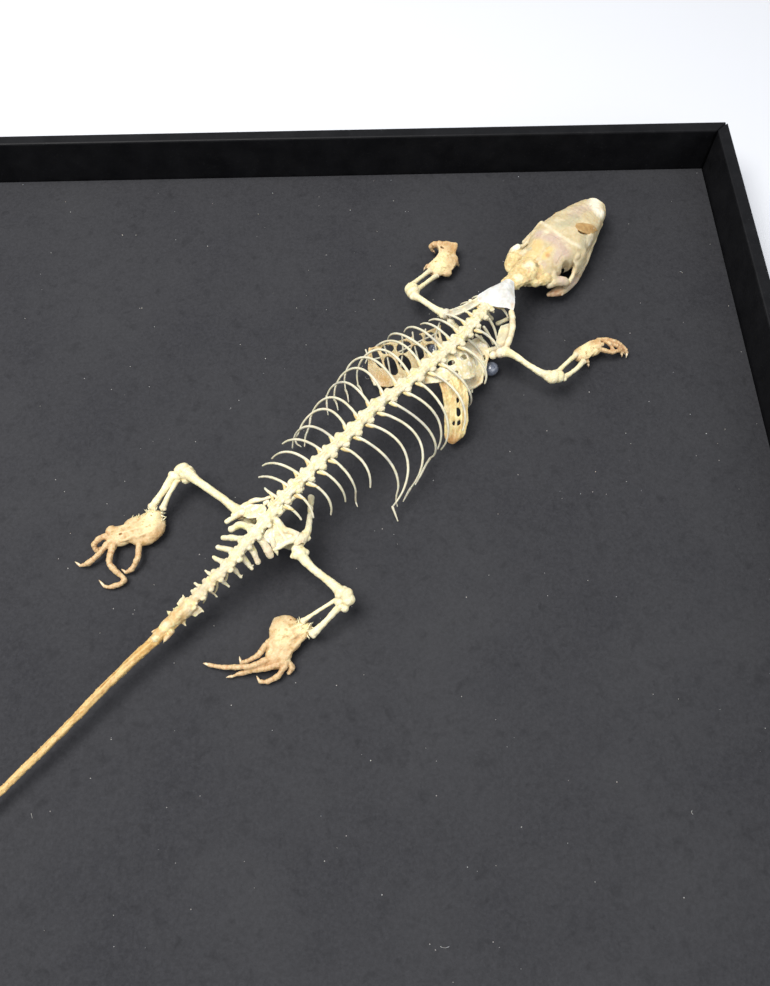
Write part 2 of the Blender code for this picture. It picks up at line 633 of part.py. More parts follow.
def build_tail(bone, cartilage, sacrum):
    route = smooth_route(TAIL_BASE_ROUTE, lambda travelled: CAUDAL_PITCH + CAUDAL_PITCH_GAIN * travelled)
    route = route[:CAUDAL_COUNT]
    stump, stump_size = TAIL_STUMP
    pieces = [tube([place for place, _ in route] + [Vector(stump)], [TAIL_CORE_RADIUS] * (len(route) + 1), 8),
              ball(stump, stump_size, heading_of(route[-1][1]))]
    for index, (place, tailward) in enumerate(route):
        share = index / (len(route) - 1)
        span = CAUDAL_SPAN[0] + (CAUDAL_SPAN[1] - CAUDAL_SPAN[0]) * share
        pieces.append(ball(place, CAUDAL_BODY, heading_of(tailward), segments=6, rings=5))
        for sign in SIDES.values():
            tip = place + left_of(tailward) * sign * span + tailward * CAUDAL_SWEEP
            tip.z = place.z - CAUDAL_DROP
            pieces.append(tube((place, tip), CAUDAL_SPUR_RADII))
    tail_base = fuse("tail_base", pieces, bone)
    clear_of(tail_base, sacrum, bpy.data.objects["hip_left"], bpy.data.objects["hip_right"])
    knots = [Vector(point) for point in TAIL_ROD_ROUTE]
    path = [place for place, _ in smooth_route(knots, lambda travelled: TAIL_ROD_STEP)]
    lengths = [len(path) * part // TAIL_LENGTHS for part in range(TAIL_LENGTHS + 1)]
    for part, (first, last) in enumerate(zip(lengths, lengths[1:]), 1):
        stretch = path[first:last + 1]
        stretch[0] = stretch[0].lerp(stretch[1], GAP / TAIL_ROD_STEP)
        radii = [rod_radius(place, knots) for place in stretch]
        rod = fuse(f"tail_rod_{part}", [tube(stretch, radii, 8)], cartilage)
        if part == 1:
            clear_of(rod, tail_base)


def rod_radius(place, knots):
    """The tail rod's radius at a place, from the radii at its knots."""
    for index, (start, end) in enumerate(zip(knots, knots[1:])):
        share = (place - start).dot(end - start) / (end - start).length_squared
        if share <= 1.0:
            share = max(0.0, share)
            return TAIL_ROD_RADII[index] + (TAIL_ROD_RADII[index + 1] - TAIL_ROD_RADII[index]) * share
    return TAIL_ROD_RADII[-1]


# The limbs
def long_bone(kind, side, ends, material):
    start, end = (Vector(point) for point in ends[side])
    shaft, near_knob, far_knob = LIMB_RADII[kind]
    along = [start.lerp(end, share) for share in (0.0, 0.12, 0.3, 0.7, 0.88, 1.0)]
    radii = (near_knob * 0.7, near_knob, shaft, shaft, far_knob, far_knob * 0.7)
    return fuse(f"{kind}_{side}", [tube(along, radii, 8)], material)


def build_foot(name, skin):
    center, size, heading = PALM[name]
    wrist, wrist_size, wrist_heading = WRIST[name]
    pieces = [ball(center, size, heading, segments=12, rings=6), ball(wrist, wrist_size, wrist_heading)]
    for toe in TOES[name]:
        count = len(toe)
        radii = [TOE_RADIUS + (TOE_TIP_RADIUS - TOE_RADIUS) * index / (count - 1) for index in range(count)]
        pieces.append(tube(toe, radii))
    return fuse(name, pieces, skin)


def build_limbs(bone, skin):
    for side in SIDES:
        femur = long_bone("femur", side, FEMUR, bone)
        clear_of(femur, bpy.data.objects[f"hip_{side}"])
        tibia = long_bone("tibia", side, TIBIA, bone)
        clear_of(tibia, femur)
        fibula = long_bone("fibula", side, FIBULA, bone)
        clear_of(fibula, femur, tibia)
        foot = build_foot(f"foot_{side}", skin)
        clear_of(foot, tibia, fibula)
        humerus = long_bone("humerus", side, HUMERUS, bone)
        clear_of(humerus, bpy.data.objects[f"trunk_{side}"])
        radius = long_bone("radius", side, RADIUS, bone)
        clear_of(radius, humerus)
        ulna = long_bone("ulna", side, ULNA, bone)
        clear_of(ulna, humerus, radius)
        hand = build_foot(f"hand_{side}", skin)
        clear_of(hand, radius, ulna)


# The shoulders and breastbone
def build_shoulders(bone, cartilage):
    trunk = [bpy.data.objects[f"trunk_{side}"] for side in SIDES]
    neck = bpy.data.objects["neck"]
    sternum = fuse("sternum", [ball(STERNUM_AT, STERNUM_SIZE, STERNUM_HEADING, segments=12)], cartilage)
    clear_of(sternum, *trunk, *(bpy.data.objects[f"costal_plate_{side}"] for side in SIDES))
    nape = fuse("nape_cartilage", [sheet(NAPE_ROWS, NAPE_THICKNESS)], cartilage)
    clear_of(nape, *trunk, neck, bpy.data.objects["skull"])
    for side in SIDES:
        socket = Vector(SHOULDER_SOCKET[side])
        top = Vector(CLAVICLE_TOP[side])
        blade, heading = SCAPULA[side]
        pieces = [
            ball(socket, SHOULDER_BODY, 50.0),
            tube((socket, top), (0.7, 0.5)),
            ball(blade, SCAPULA_SIZE, heading),
            tube((socket, Vector(CORACOID_END[side])), (0.8, 0.5)),
            tube((top, Vector(CLAVICLE_END[side])), (0.5, 0.4)),
        ]
        shoulder = fuse(f"shoulder_{side}", pieces, bone)
        clear_of(shoulder, sternum, *trunk, neck, nape, bpy.data.objects[f"humerus_{side}"])


def main():
    clear_scene()
    black = make_material("black_lacquer", (0.012, 0.012, 0.013), 0.35)
    charcoal = make_material("charcoal_board", (0.055, 0.055, 0.06), 0.9)
    bone = make_material("bone", (0.85, 0.78, 0.55), 0.5)
    skin = make_material("dried_skin", (0.70, 0.45, 0.20), 0.5)
    cartilage = make_material("cartilage", (0.68, 0.45, 0.14), 0.35)
    glass = make_material("bead", (0.25, 0.3, 0.36), 0.2)
    build_frame(black, charcoal)
    build_beads(glass)
    skull = build_skull(bone)
    build_trunk(bone)
    build_neck(bone, [skull, bpy.data.objects["trunk_left"], bpy.data.objects["trunk_right"]])
    build_costal_plates(cartilage)
    sacrum = build_hips(bone)
    build_tail(bone, cartilage, sacrum)
    build_limbs(bone, skin)
    build_shoulders(bone, cartilage)


main()
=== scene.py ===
import bmesh
import bpy
import math
import numpy as np
import random
from mathutils import Matrix, Vector, noise


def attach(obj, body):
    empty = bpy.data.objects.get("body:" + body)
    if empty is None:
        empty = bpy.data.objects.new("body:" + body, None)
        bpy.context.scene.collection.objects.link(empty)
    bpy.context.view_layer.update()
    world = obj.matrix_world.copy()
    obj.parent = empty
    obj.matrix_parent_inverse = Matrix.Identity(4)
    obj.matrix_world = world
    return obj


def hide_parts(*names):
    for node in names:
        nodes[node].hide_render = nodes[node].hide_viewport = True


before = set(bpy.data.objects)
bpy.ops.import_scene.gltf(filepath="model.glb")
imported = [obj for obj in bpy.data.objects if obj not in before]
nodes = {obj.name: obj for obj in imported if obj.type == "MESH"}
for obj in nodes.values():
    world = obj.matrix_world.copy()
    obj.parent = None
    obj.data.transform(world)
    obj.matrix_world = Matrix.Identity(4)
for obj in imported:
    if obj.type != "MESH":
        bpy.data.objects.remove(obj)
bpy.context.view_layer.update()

# Places are in millimetres in the frame's axes, with heights over the board's top.
millimetre = 0.001
boardTop = 3.0
toMetres = Matrix.Scale(millimetre, 4) @ Matrix.Translation((0.0, 0.0, boardTop))
scene = bpy.context.scene


# Small makers of meshes
def plainMesh(obj):
    bpy.context.view_layer.update()
    graph = bpy.context.evaluated_depsgraph_get()
    return bpy.data.meshes.new_from_object(obj.evaluated_get(graph), preserve_all_data_layers=True,
        depsgraph=graph)


def dropObject(obj):
    mesh = obj.data
    bpy.data.objects.remove(obj, do_unlink=True)
    if mesh and mesh.users == 0:
        bpy.data.meshes.remove(mesh)


def newObject(name, data):
    obj = bpy.data.objects.new(name, data)
    scene.collection.objects.link(obj)
    return obj


def meshOf(name, work):
    mesh = bpy.data.meshes.new(name)
    work.to_mesh(mesh)
    work.free()
    return mesh


# Rows of numbers in, a smooth run of rows out.
def curveThrough(rows, parts=6):
    knots = [np.array(row, float) for row in rows]
    if len(knots) == 2:
        return [knots[0] + (knots[1] - knots[0]) * part / parts for part in range(parts + 1)]
    knots = [2 * knots[0] - knots[1]] + knots + [2 * knots[-1] - knots[-2]]
    fine = []
    for before, start, end, after in zip(knots, knots[1:], knots[2:], knots[3:]):
        for part in range(parts):
            t = part / parts
            fine.append(0.5
                    * (2 * start + (end - before) * t + (2 * before - 5 * start + 4 * end - after) * t * t
                        + (3 * start - before - 3 * end + after) * t ** 3))
    fine.append(knots[-2])
    return fine


def joinRings(work, rings):
    for low, high in zip(rings, rings[1:]):
        for step in range(len(low)):
            after = (step + 1) % len(low)
            work.faces.new((low[step], low[after], high[after], high[step]))
    work.faces.new(rings[0][::-1])
    work.faces.new(rings[-1])


# A closed rod through rows of x, y, height and radius; flat squeezes it in height.
def addRod(work, rows, sides=12, parts=6, flat=1.0):
    path = curveThrough(rows, parts)
    places = [Vector(row[:3]) for row in path]
    radii = [max(float(row[3]), 0.02) for row in path]
    headings = []
    for index in range(len(places)):
        ahead = places[min(index + 1, len(places) - 1)] - places[max(index - 1, 0)]
        headings.append(ahead.normalized())
    first, last = headings[0], headings[-1]
    places = [places[0] - first * radii[0] * 0.8, places[0] - first * radii[0] * 0.5] + places
    places += [places[-1] + last * radii[-1] * 0.5, places[-1] + last * radii[-1] * 0.8]
    radii = [radii[0] * 0.45, radii[0] * 0.8] + radii + [radii[-1] * 0.8, radii[-1] * 0.45]
    headings = [first, first] + headings + [last, last]
    rings = []
    side = Vector((0, 0, 1)).cross(headings[0])
    side = side.normalized() if side.length > 0.05 else Vector((1, 0, 0))
    for place, heading, radius in zip(places, headings, radii):
        side = (side - heading * side.dot(heading)).normalized()
        up = heading.cross(side)
        ring = []
        for step in range(sides):
            angle = 2 * math.pi * step / sides
            offset = (side * math.cos(angle) + up * math.sin(angle)) * radius
            offset.z *= flat
            ring.append(work.verts.new(place + offset))
        rings.append(ring)
    joinRings(work, rings)


# A closed egg: half sizes along its heading, across it and up.
def addBlob(work, centre, size, heading=0.0, tilt=0.0, segments=18):
    turn = Matrix.Rotation(math.radians(heading), 4, "Z") @ Matrix.Rotation(math.radians(-tilt), 4, "Y")
    shape = Matrix.Diagonal((*size, 1.0))
    bmesh.ops.create_uvsphere(work, u_segments=segments, v_segments=segments // 2 + 2, radius=1.0,
        matrix=Matrix.Translation(centre) @ turn @ shape)


# A closed slab over a grid of places.
def addSheet(work, rows, thickness, parts=5):
    across = [curveThrough(row, parts) for row in rows]
    columns = list(zip(*across))
    grid = [curveThrough(column, parts) for column in columns]
    tall, wide = len(grid), len(grid[0])
    facing = []
    for i in range(tall):
        line = []
        for j in range(wide):
            along = grid[min(i + 1, tall - 1)][j] - grid[max(i - 1, 0)][j]
            over = grid[i][min(j + 1, wide - 1)] - grid[i][max(j - 1, 0)]
            normal = np.cross(along, over)
            line.append(normal / max(np.linalg.norm(normal), 1e-9))
        facing.append(line)
    top = [[work.verts.new(grid[i][j] + facing[i][j] * thickness / 2) for j in range(wide)]
            for i in range(tall)]
    low = [[work.verts.new(grid[i][j] - facing[i][j] * thickness / 2) for j in range(wide)]
            for i in range(tall)]
    for i in range(tall - 1):
        for j in range(wide - 1):
            work.faces.new((top[i][j], top[i + 1][j], top[i + 1][j + 1], top[i][j + 1]))
            work.faces.new((low[i][j], low[i][j + 1], low[i + 1][j + 1], low[i + 1][j]))
    for i in range(tall - 1):
        work.faces.new((top[i][0], low[i][0], low[i + 1][0], top[i + 1][0]))
        work.faces.new((top[i][-1], top[i + 1][-1], low[i + 1][-1], low[i][-1]))
    for j in range(wide - 1):
        work.faces.new((top[0][j], top[0][j + 1], low[0][j + 1], low[0][j]))
        work.faces.new((top[-1][j], low[-1][j], low[-1][j + 1], top[-1][j + 1]))


# Take the cutters' forms out of the work.
def cutAway(work, cutters):
    for form in (work, cutters):
        bmesh.ops.recalc_face_normals(form, faces=form.faces)
    target = newObject("cutTarget", meshOf("cutTarget", work))
    tool = newObject("cutTool", meshOf("cutTool", cutters))
    cut = target.modifiers.new("cut", "BOOLEAN")
    cut.object = tool
    cut.operation = "DIFFERENCE"
    cut.solver = "EXACT"
    cut.use_self = True
    mesh = plainMesh(target)
    dropObject(target)
    dropObject(tool)
    result = bmesh.new()
    result.from_mesh(mesh)
    bpy.data.meshes.remove(mesh)
    return result


def readPoints(mesh, kind="co"):
    values = np.empty(len(mesh.vertices) * 3)
    mesh.vertices.foreach_get(kind, values)
    return values.reshape(-1, 3)


def writePoints(mesh, places):
    mesh.vertices.foreach_set("co", places.reshape(-1))
    mesh.update()


def writeMark(mesh, name, values):
    mark = mesh.attributes.get(name) or mesh.attributes.new(name, "FLOAT", "POINT")
    mark.data.foreach_set("value", values.astype(np.float32))


def neighbourMeans(places, edges, count):
    means = np.empty_like(places)
    links = np.bincount(edges.reshape(-1), minlength=count).clip(min=1)
    for axis in range(places.shape[1]):
        total = np.bincount(edges[:, 0], weights=places[edges[:, 1], axis], minlength=count)
        total += np.bincount(edges[:, 1], weights=places[edges[:, 0], axis], minlength=count)
        means[:, axis] = total / links
    return means


# Crevices get values up to 1 and ridges down to -1, for stain and painted shade in the hollows and wear and
# painted highlight on the ridges.
def markHollows(mesh, depth=0.05):
    places = readPoints(mesh)
    facing = readPoints(mesh, "normal")
    edges = np.empty(len(mesh.edges) * 2, dtype=np.int32)
    mesh.edges.foreach_get("vertices", edges)
    edges = edges.reshape(-1, 2)
    spread = places.copy()
    for _ in range(10):
        spread = neighbourMeans(spread, edges, len(places))
    value = ((spread - places) * facing).sum(axis=1)[:, None] / depth
    value = neighbourMeans(value, edges, len(places))
    writeMark(mesh, "hollow", np.clip(value[:, 0], -1.0, 1.0))


# Distance of every place from a run of points.
def distanceToLine(places, line):
    best = np.full(len(places), 1e9)
    for start, end in zip(line, line[1:]):
        span = end - start
        share = np.clip(((places - start) @ span) / max(span @ span, 1e-12), 0.0, 1.0)
        best = np.minimum(best, np.linalg.norm(places - start - share[:, None] * span, axis=1))
    return best


def carveLines(mesh, lines, width, depth):
    places = readPoints(mesh)
    facing = readPoints(mesh, "normal")
    for line in lines:
        path = [np.array(row[:3]) for row in curveThrough(line, 5)]
        away = distanceToLine(places, path)
        places -= facing * (depth * np.exp(-(away / width) ** 2))[:, None]
    writePoints(mesh, places)


# Stains, painted shade and painted highlights: mark name -> rows of centre, radius and strength.
def paintSpots(mesh, stains):
    places = readPoints(mesh)
    for name, spots in stains.items():
        value = np.zeros(len(places))
        for centre, radius, strength in spots:
            away = np.linalg.norm(places - np.array(centre), axis=1) / radius
            fade = np.clip(1.6 - 1.6 * away, 0.0, 1.0)
            value = np.maximum(value, strength * fade)
        writeMark(mesh, name, value)


# Push the surface in and out by noise: rows of height and width in millimetres.
def roughen(mesh, lumps, seed):
    places = readPoints(mesh)
    facing = readPoints(mesh, "normal")
    push = np.zeros(len(places))
    for height, width in lumps:
        shift = Vector((seed * 7.3, seed * 3.1, seed * 5.7))
        push += height * np.array([noise.noise(Vector(place) / width + shift) for place in places])
    writePoints(mesh, places + facing * push[:, None])


def finishPiece(name, mesh, finish, replaced=()):
    mesh.name = name
    mesh.materials.clear()
    mesh.materials.append(finish)
    mesh.polygons.foreach_set("material_index", [0] * len(mesh.polygons))
    mesh.polygons.foreach_set("use_smooth", [True] * len(mesh.polygons))
    piece = newObject(name, mesh)
    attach(piece, "root")
    if replaced:
        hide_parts(*replaced)
    return piece


# Melt overlapping closed forms into one skin, still in millimetres.
def sculptMesh(work, look, stains=None, grooves=()):
    bmesh.ops.recalc_face_normals(work, faces=work.faces)
    source = newObject("clay", meshOf("clay", work))
    skin = source.modifiers.new("skin", "REMESH")
    skin.mode = "VOXEL"
    skin.voxel_size = look["voxel"]
    soften = source.modifiers.new("soften", "SMOOTH")
    soften.factor = 0.5
    soften.iterations = look.get("soften", 4)
    mesh = plainMesh(source)
    dropObject(source)
    for width, depth, lines in grooves:
        carveLines(mesh, lines, width, depth)
    roughen(mesh, look["lumps"], look.get("seed", 1))
    markHollows(mesh, look.get("hollowDepth", 0.05))
    if stains:
        paintSpots(mesh, stains)
    return mesh


def sculptPiece(name, work, look, finish, replaced=(), stains=None, grooves=()):
    mesh = sculptMesh(work, look, stains, grooves)
    mesh.transform(toMetres)
    return finishPiece(name, mesh, finish, replaced)


# Node trees
def addNode(tree, kind, inputs=None, **settings):
    node = tree.nodes.new(kind)
    for key, value in settings.items():
        setattr(node, key, value)
    for key, value in (inputs or {}).items():
        if isinstance(value, bpy.types.NodeSocket):
            tree.links.new(value, node.inputs[key])
        else:
            node.inputs[key].default_value = value
    return node


# A screen colour, 0 to 255, as the shader wants it.
def tone(red, green, blue):
    return tuple(((part / 255 + 0.055) / 1.055) ** 2.4 if part > 10 else part / 255 / 12.92
            for part in (red, green, blue)) + (1.0,)


def mixTones(tree, share, first, second):
    node = addNode(tree, "ShaderNodeMix", {0: share, 6: first, 7: second}, data_type="RGBA")
    return node.outputs[2]


def calc(tree, operation, first, second=0.0, clamp=False):
    node = addNode(tree, "ShaderNodeMath", {0: first, 1: second}, operation=operation, use_clamp=clamp)
    return node.outputs[0]


def spanned(tree, value, low, high, start=0.0, end=1.0):
    return addNode(tree, "ShaderNodeMapRange",
        {"Value": value, "From Min": low, "From Max": high, "To Min": start, "To Max": end}).outputs[0]


# Noise whose blotches are about this many millimetres across.
def noiseAt(tree, place, size, detail=3.0, roughness=0.55, twist=0.0):
    return addNode(tree, "ShaderNodeTexNoise",
        {"Vector": place, "Scale": 1.0 / (size * millimetre), "Detail": detail, "Roughness": roughness,
            "Distortion": twist}).outputs["Fac"]


def markValue(tree, name):
    node = addNode(tree, "ShaderNodeAttribute", attribute_type="GEOMETRY", attribute_name=name)
    return node.outputs["Fac"]


def newFinish(name):
    finish = bpy.data.materials.new(name)
    finish.use_nodes = True
    finish.node_tree.nodes.clear()
    return finish, finish.node_tree, addNode(finish.node_tree, "ShaderNodeTexCoord").outputs["Object"]


# The bump, the shader and the output; relief is in millimetres.
def closeFinish(tree, height, strength, relief, values):
    bump = addNode(tree, "ShaderNodeBump",
        {"Strength": strength, "Height": height, "Distance": relief * millimetre})
    shader = addNode(tree, "ShaderNodeBsdfPrincipled", dict(values, Normal=bump.outputs[0]))
    addNode(tree, "ShaderNodeOutputMaterial", {"Surface": shader.outputs[0]})


# Dry bone, skin or gristle: blotches, hollows darkened by stain and painted shade, ridges lightened by wear
# and painted highlight, pits and a slight bump.
def makeFinish(name, **changes):
    look = dict(boneLook, **changes)
    finish, tree, place = newFinish(name)
    if "stretch" in look:
        turn, squeeze = look["stretch"]
        place = addNode(tree, "ShaderNodeMapping",
            {"Vector": place, "Rotation": (0.0, 0.0, math.radians(turn)), "Scale": squeeze},
            vector_type="TEXTURE").outputs[0]
    blotch = noiseAt(tree, place, look["blotch"], 4.0, 0.6, 0.6)
    grain = noiseAt(tree, place, look["grain"], 3.0, 0.6)
    colour = mixTones(tree, spanned(tree, blotch, 0.38, 0.62), tone(*look["main"]), tone(*look["second"]))
    for mark, paint, strength in look["marks"]:
        share = calc(tree, "MULTIPLY", markValue(tree, mark), spanned(tree, blotch, 0.25, 0.7, 1.15, 0.75))
        share = calc(tree, "MULTIPLY", share, strength, clamp=True)
        colour = mixTones(tree, share, colour, tone(*paint))
    if "spot" in look:
        spotTone, low, high, size = look["spot"]
        spots = spanned(tree, noiseAt(tree, place, size, 2.0, 0.5), low, high)
        colour = mixTones(tree, spots, colour, tone(*spotTone))
    hollow = markValue(tree, "hollow")
    # Hollows darken to the hollow colour, partly stain and partly painted shade; ridges lighten to the ridge
    # colour, partly wear and partly painted highlight.
    stained = calc(tree, "MULTIPLY", spanned(tree, hollow, 0.05, 0.9), look["stain"])
    colour = mixTones(tree, stained, colour, tone(*look["hollow"]))
    wornAndHighlit = calc(tree, "MULTIPLY", spanned(tree, hollow, -0.1, -0.9), look["wear"])
    colour = mixTones(tree, wornAndHighlit, colour, tone(*look["ridge"]))
    flecks = calc(tree, "MULTIPLY", spanned(tree, grain, 0.5, 0.7), look["fleck"])
    colour = mixTones(tree, flecks, colour, tone(*look["hollow"]))
    height = calc(tree, "ADD", calc(tree, "MULTIPLY", grain, 0.35), calc(tree, "MULTIPLY", blotch, 0.65))
    rough = spanned(tree, grain, 0.3, 0.7, *look["rough"])
    values = {
        "Base Color": colour, "Roughness": rough, "Specular IOR Level": look["shine"],
        "Subsurface Weight": look["glow"], "Subsurface Radius": look["glowColour"],
        "Subsurface Scale": look["glowDepth"] * millimetre}
    closeFinish(tree, height, look["bump"], look["relief"], values)
    return finish


# Geometry Nodes
def newNodeTool(name, sockets):
    tree = bpy.data.node_groups.new(name, "GeometryNodeTree")
    tree.interface.new_socket("Geometry", in_out="INPUT", socket_type="NodeSocketGeometry")
    for label, kind in sockets:
        tree.interface.new_socket(label, in_out="INPUT", socket_type="NodeSocket" + kind)
    tree.interface.new_socket("Geometry", in_out="OUTPUT", socket_type="NodeSocketGeometry")
    return tree, addNode(tree, "NodeGroupInput").outputs


def closeNodeTool(tree, geometry, finish):
    geometry = addNode(tree, "GeometryNodeRealizeInstances", {0: geometry}).outputs[0]
    painted = addNode(tree, "GeometryNodeSetMaterial", {"Geometry": geometry, "Material": finish})
    addNode(tree, "NodeGroupOutput", {"Geometry": painted.outputs[0]})


# The plain mesh that the tree makes of a base mesh; the base goes.
def runNodeTool(tree, base, values):
    carrier = newObject("carrier", base)
    made = carrier.modifiers.new("made", "NODES")
    made.node_group = tree
    for item in tree.interface.items_tree:
        if item.in_out == "INPUT" and item.name in values:
            made[item.identifier] = values[item.name]
    mesh = plainMesh(carrier)
    dropObject(carrier)
    return mesh


def namedMark(tree, name, kind="FLOAT"):
    return addNode(tree, "GeometryNodeInputNamedAttribute", {"Name": name}, data_type=kind).outputs[0]


def asTurn(tree, angles):
    return addNode(tree, "FunctionNodeEulerToRotation", {0: angles}).outputs[0]


def buildRodTool():
    tree, given = newNodeTool("rodsAlongLines",
        (("Sides", "Int"), ("Bump height", "Float"), ("Bump width", "Float"), ("Finish", "Material")))
    curve = addNode(tree, "GeometryNodeMeshToCurve", {0: given["Geometry"]}).outputs[0]
    ring = addNode(tree, "GeometryNodeCurvePrimitiveCircle", {"Resolution": given["Sides"], "Radius": 1.0})
    radius = namedMark(tree, "rodRadius")
    rods = addNode(tree, "GeometryNodeCurveToMesh",
        {"Curve": curve, "Profile Curve": ring.outputs[0], "Scale": radius, "Fill Caps": True}).outputs[0]
    place = addNode(tree, "GeometryNodeInputPosition").outputs[0]
    size = calc(tree, "DIVIDE", 1.0, given["Bump width"])
    wave = addNode(tree, "ShaderNodeTexNoise", {"Vector": place, "Scale": size, "Detail": 2.0})
    push = calc(tree, "MULTIPLY", calc(tree, "SUBTRACT", wave.outputs["Fac"], 0.5), given["Bump height"])
    normal = addNode(tree, "GeometryNodeInputNormal").outputs[0]
    offset = addNode(tree, "ShaderNodeVectorMath", {0: normal, "Scale": push}, operation="SCALE").outputs[0]
    rods = addNode(tree, "GeometryNodeSetPosition", {"Geometry": rods, "Offset": offset}).outputs[0]
    rods = addNode(tree, "GeometryNodeSetShadeSmooth", {0: rods}).outputs[0]
    closeNodeTool(tree, rods, given["Finish"])
    return tree


def buildCopyTool():
    tree, given = newNodeTool("copiesOnPoints", (("Form", "Object"), ("Finish", "Material")))
    form = addNode(tree, "GeometryNodeObjectInfo", {"Object": given["Form"]}).outputs["Geometry"]
    turn = asTurn(tree, namedMark(tree, "turn", "FLOAT_VECTOR"))
    stretch = namedMark(tree, "stretch", "FLOAT_VECTOR")
    points = addNode(tree, "GeometryNodeMeshToPoints", {"Mesh": given["Geometry"]}).outputs[0]
    copies = addNode(tree, "GeometryNodeInstanceOnPoints",
        {"Points": points, "Instance": form, "Rotation": turn, "Scale": stretch}).outputs[0]
    closeNodeTool(tree, copies, given["Finish"])
    return tree


def buildScatterTool():
    tree, given = newNodeTool("growthOnSkin",
        (("Form", "Object"), ("Density", "Float"), ("Smallest", "Float"), ("Largest", "Float"),
            ("Lean", "Float"), ("Seed", "Int"), ("Finish", "Material")))
    form = addNode(tree, "GeometryNodeObjectInfo", {"Object": given["Form"]}).outputs["Geometry"]
    density = calc(tree, "MULTIPLY", namedMark(tree, "growth"), given["Density"])
    spread = addNode(tree, "GeometryNodeDistributePointsOnFaces",
        {"Mesh": given["Geometry"], "Density": density, "Seed": given["Seed"]})
    size = addNode(tree, "FunctionNodeRandomValue",
        {2: given["Smallest"], 3: given["Largest"], "Seed": given["Seed"]}, data_type="FLOAT").outputs[1]
    less = calc(tree, "MULTIPLY", given["Lean"], -1.0)
    low = addNode(tree, "ShaderNodeCombineXYZ", {0: less, 1: less, 2: 0.0}).outputs[0]
    high = addNode(tree, "ShaderNodeCombineXYZ", {0: given["Lean"], 1: given["Lean"], 2: 6.28}).outputs[0]
    lean = addNode(tree, "FunctionNodeRandomValue", {0: low, 1: high, "Seed": 3}, data_type="FLOAT_VECTOR")
    lean = asTurn(tree, lean.outputs[0])
    copies = addNode(tree, "GeometryNodeInstanceOnPoints",
        {"Points": spread.outputs["Points"], "Instance": form, "Rotation": spread.outputs["Rotation"],
            "Scale": size})
    leaned = addNode(tree, "GeometryNodeRotateInstances",
        {"Instances": copies.outputs[0], "Rotation": lean}).outputs[0]
    closeNodeTool(tree, leaned, given["Finish"])
    return tree


rodTool = buildRodTool()
copyTool = buildCopyTool()
scatterTool = buildScatterTool()


# Rows that round off the end of a rod.
def roundEnd(end, nearby):
    away = (end - nearby)[:3]
    away = away / np.linalg.norm(away)
    return [(*(end[:3] + away * (end[3] * math.sin(math.radians(angle)))),
            end[3] * math.cos(math.radians(angle))) for angle in (40, 66, 88)]


# Rods with rounded ends along routes of x, y, height and radius.
def rodMesh(routes, finish, sides=10, parts=5, bumpHeight=0.05, bumpWidth=0.5):
    places, radii, links = [], [], []
    for route in routes:
        path = curveThrough(route, parts)
        run = roundEnd(path[0], path[1])[::-1] + [tuple(row) for row in path] + roundEnd(path[-1], path[-2])
        begin = len(places)
        for row in run:
            places.append(toMetres @ Vector(row[:3]))
            radii.append(row[3] * millimetre)
        links += [(begin + step, begin + step + 1) for step in range(len(run) - 1)]
    base = bpy.data.meshes.new("lines")
    base.from_pydata(places, links, [])
    writeMark(base, "rodRadius", np.array(radii))
    return runNodeTool(rodTool, base,
        {"Sides": sides, "Bump height": bumpHeight * millimetre, "Bump width": bumpWidth * millimetre,
            "Finish": finish})


def rodPiece(name, routes, finish, slot, replaced=(), **shape):
    return finishPiece(name, rodMesh(routes, finish, **shape), finish, replaced)


# A small form scattered over a base mesh; density is per square millimetre.
def growthMesh(base, form, finish, density, smallest, largest, lean=0.2, seed=1):
    if "growth" not in base.attributes:
        writeMark(base, "growth", np.ones(len(base.vertices)))
    return runNodeTool(scatterTool, base,
        {"Form": form, "Density": density * 1e6, "Smallest": smallest * millimetre,
            "Largest": largest * millimetre, "Lean": lean, "Seed": seed, "Finish": finish})


# A hidden template that the node tools copy.
def hiddenForm(name, mesh):
    mesh.polygons.foreach_set("use_smooth", [True] * len(mesh.polygons))
    form = newObject(name, mesh)
    form.hide_render = True
    return form


def smallRodForm(name, rows, sides):
    work = bmesh.new()
    addRod(work, rows, sides, 1)
    bmesh.ops.recalc_face_normals(work, faces=work.faces)
    return hiddenForm(name, meshOf(name, work))


def grainForm():
    work = bmesh.new()
    bmesh.ops.create_icosphere(work, subdivisions=1, radius=1.0)
    return hiddenForm("grainForm", meshOf("grainForm", work))


# A form copied to rows of place in millimetres, turn and stretch.
def copiesMesh(rows, form, finish):
    base = bpy.data.meshes.new("copyPoints")
    base.from_pydata([toMetres @ Vector(row[0]) for row in rows], [], [])
    for name, column in (("turn", 1), ("stretch", 2)):
        mark = base.attributes.new(name, "FLOAT_VECTOR", "POINT")
        mark.data.foreach_set("vector", [float(value) for row in rows for value in row[column]])
    return runNodeTool(copyTool, base, {"Form": form, "Finish": finish})


grain = grainForm()
bristle = smallRodForm("bristleForm",
    ((0, 0, -0.1, 0.2), (0.03, 0, 0.3, 0.15), (0.1, 0.02, 0.7, 0.08), (0.2, 0.03, 1.0, 0.02)), 5)
print("helpers ready")
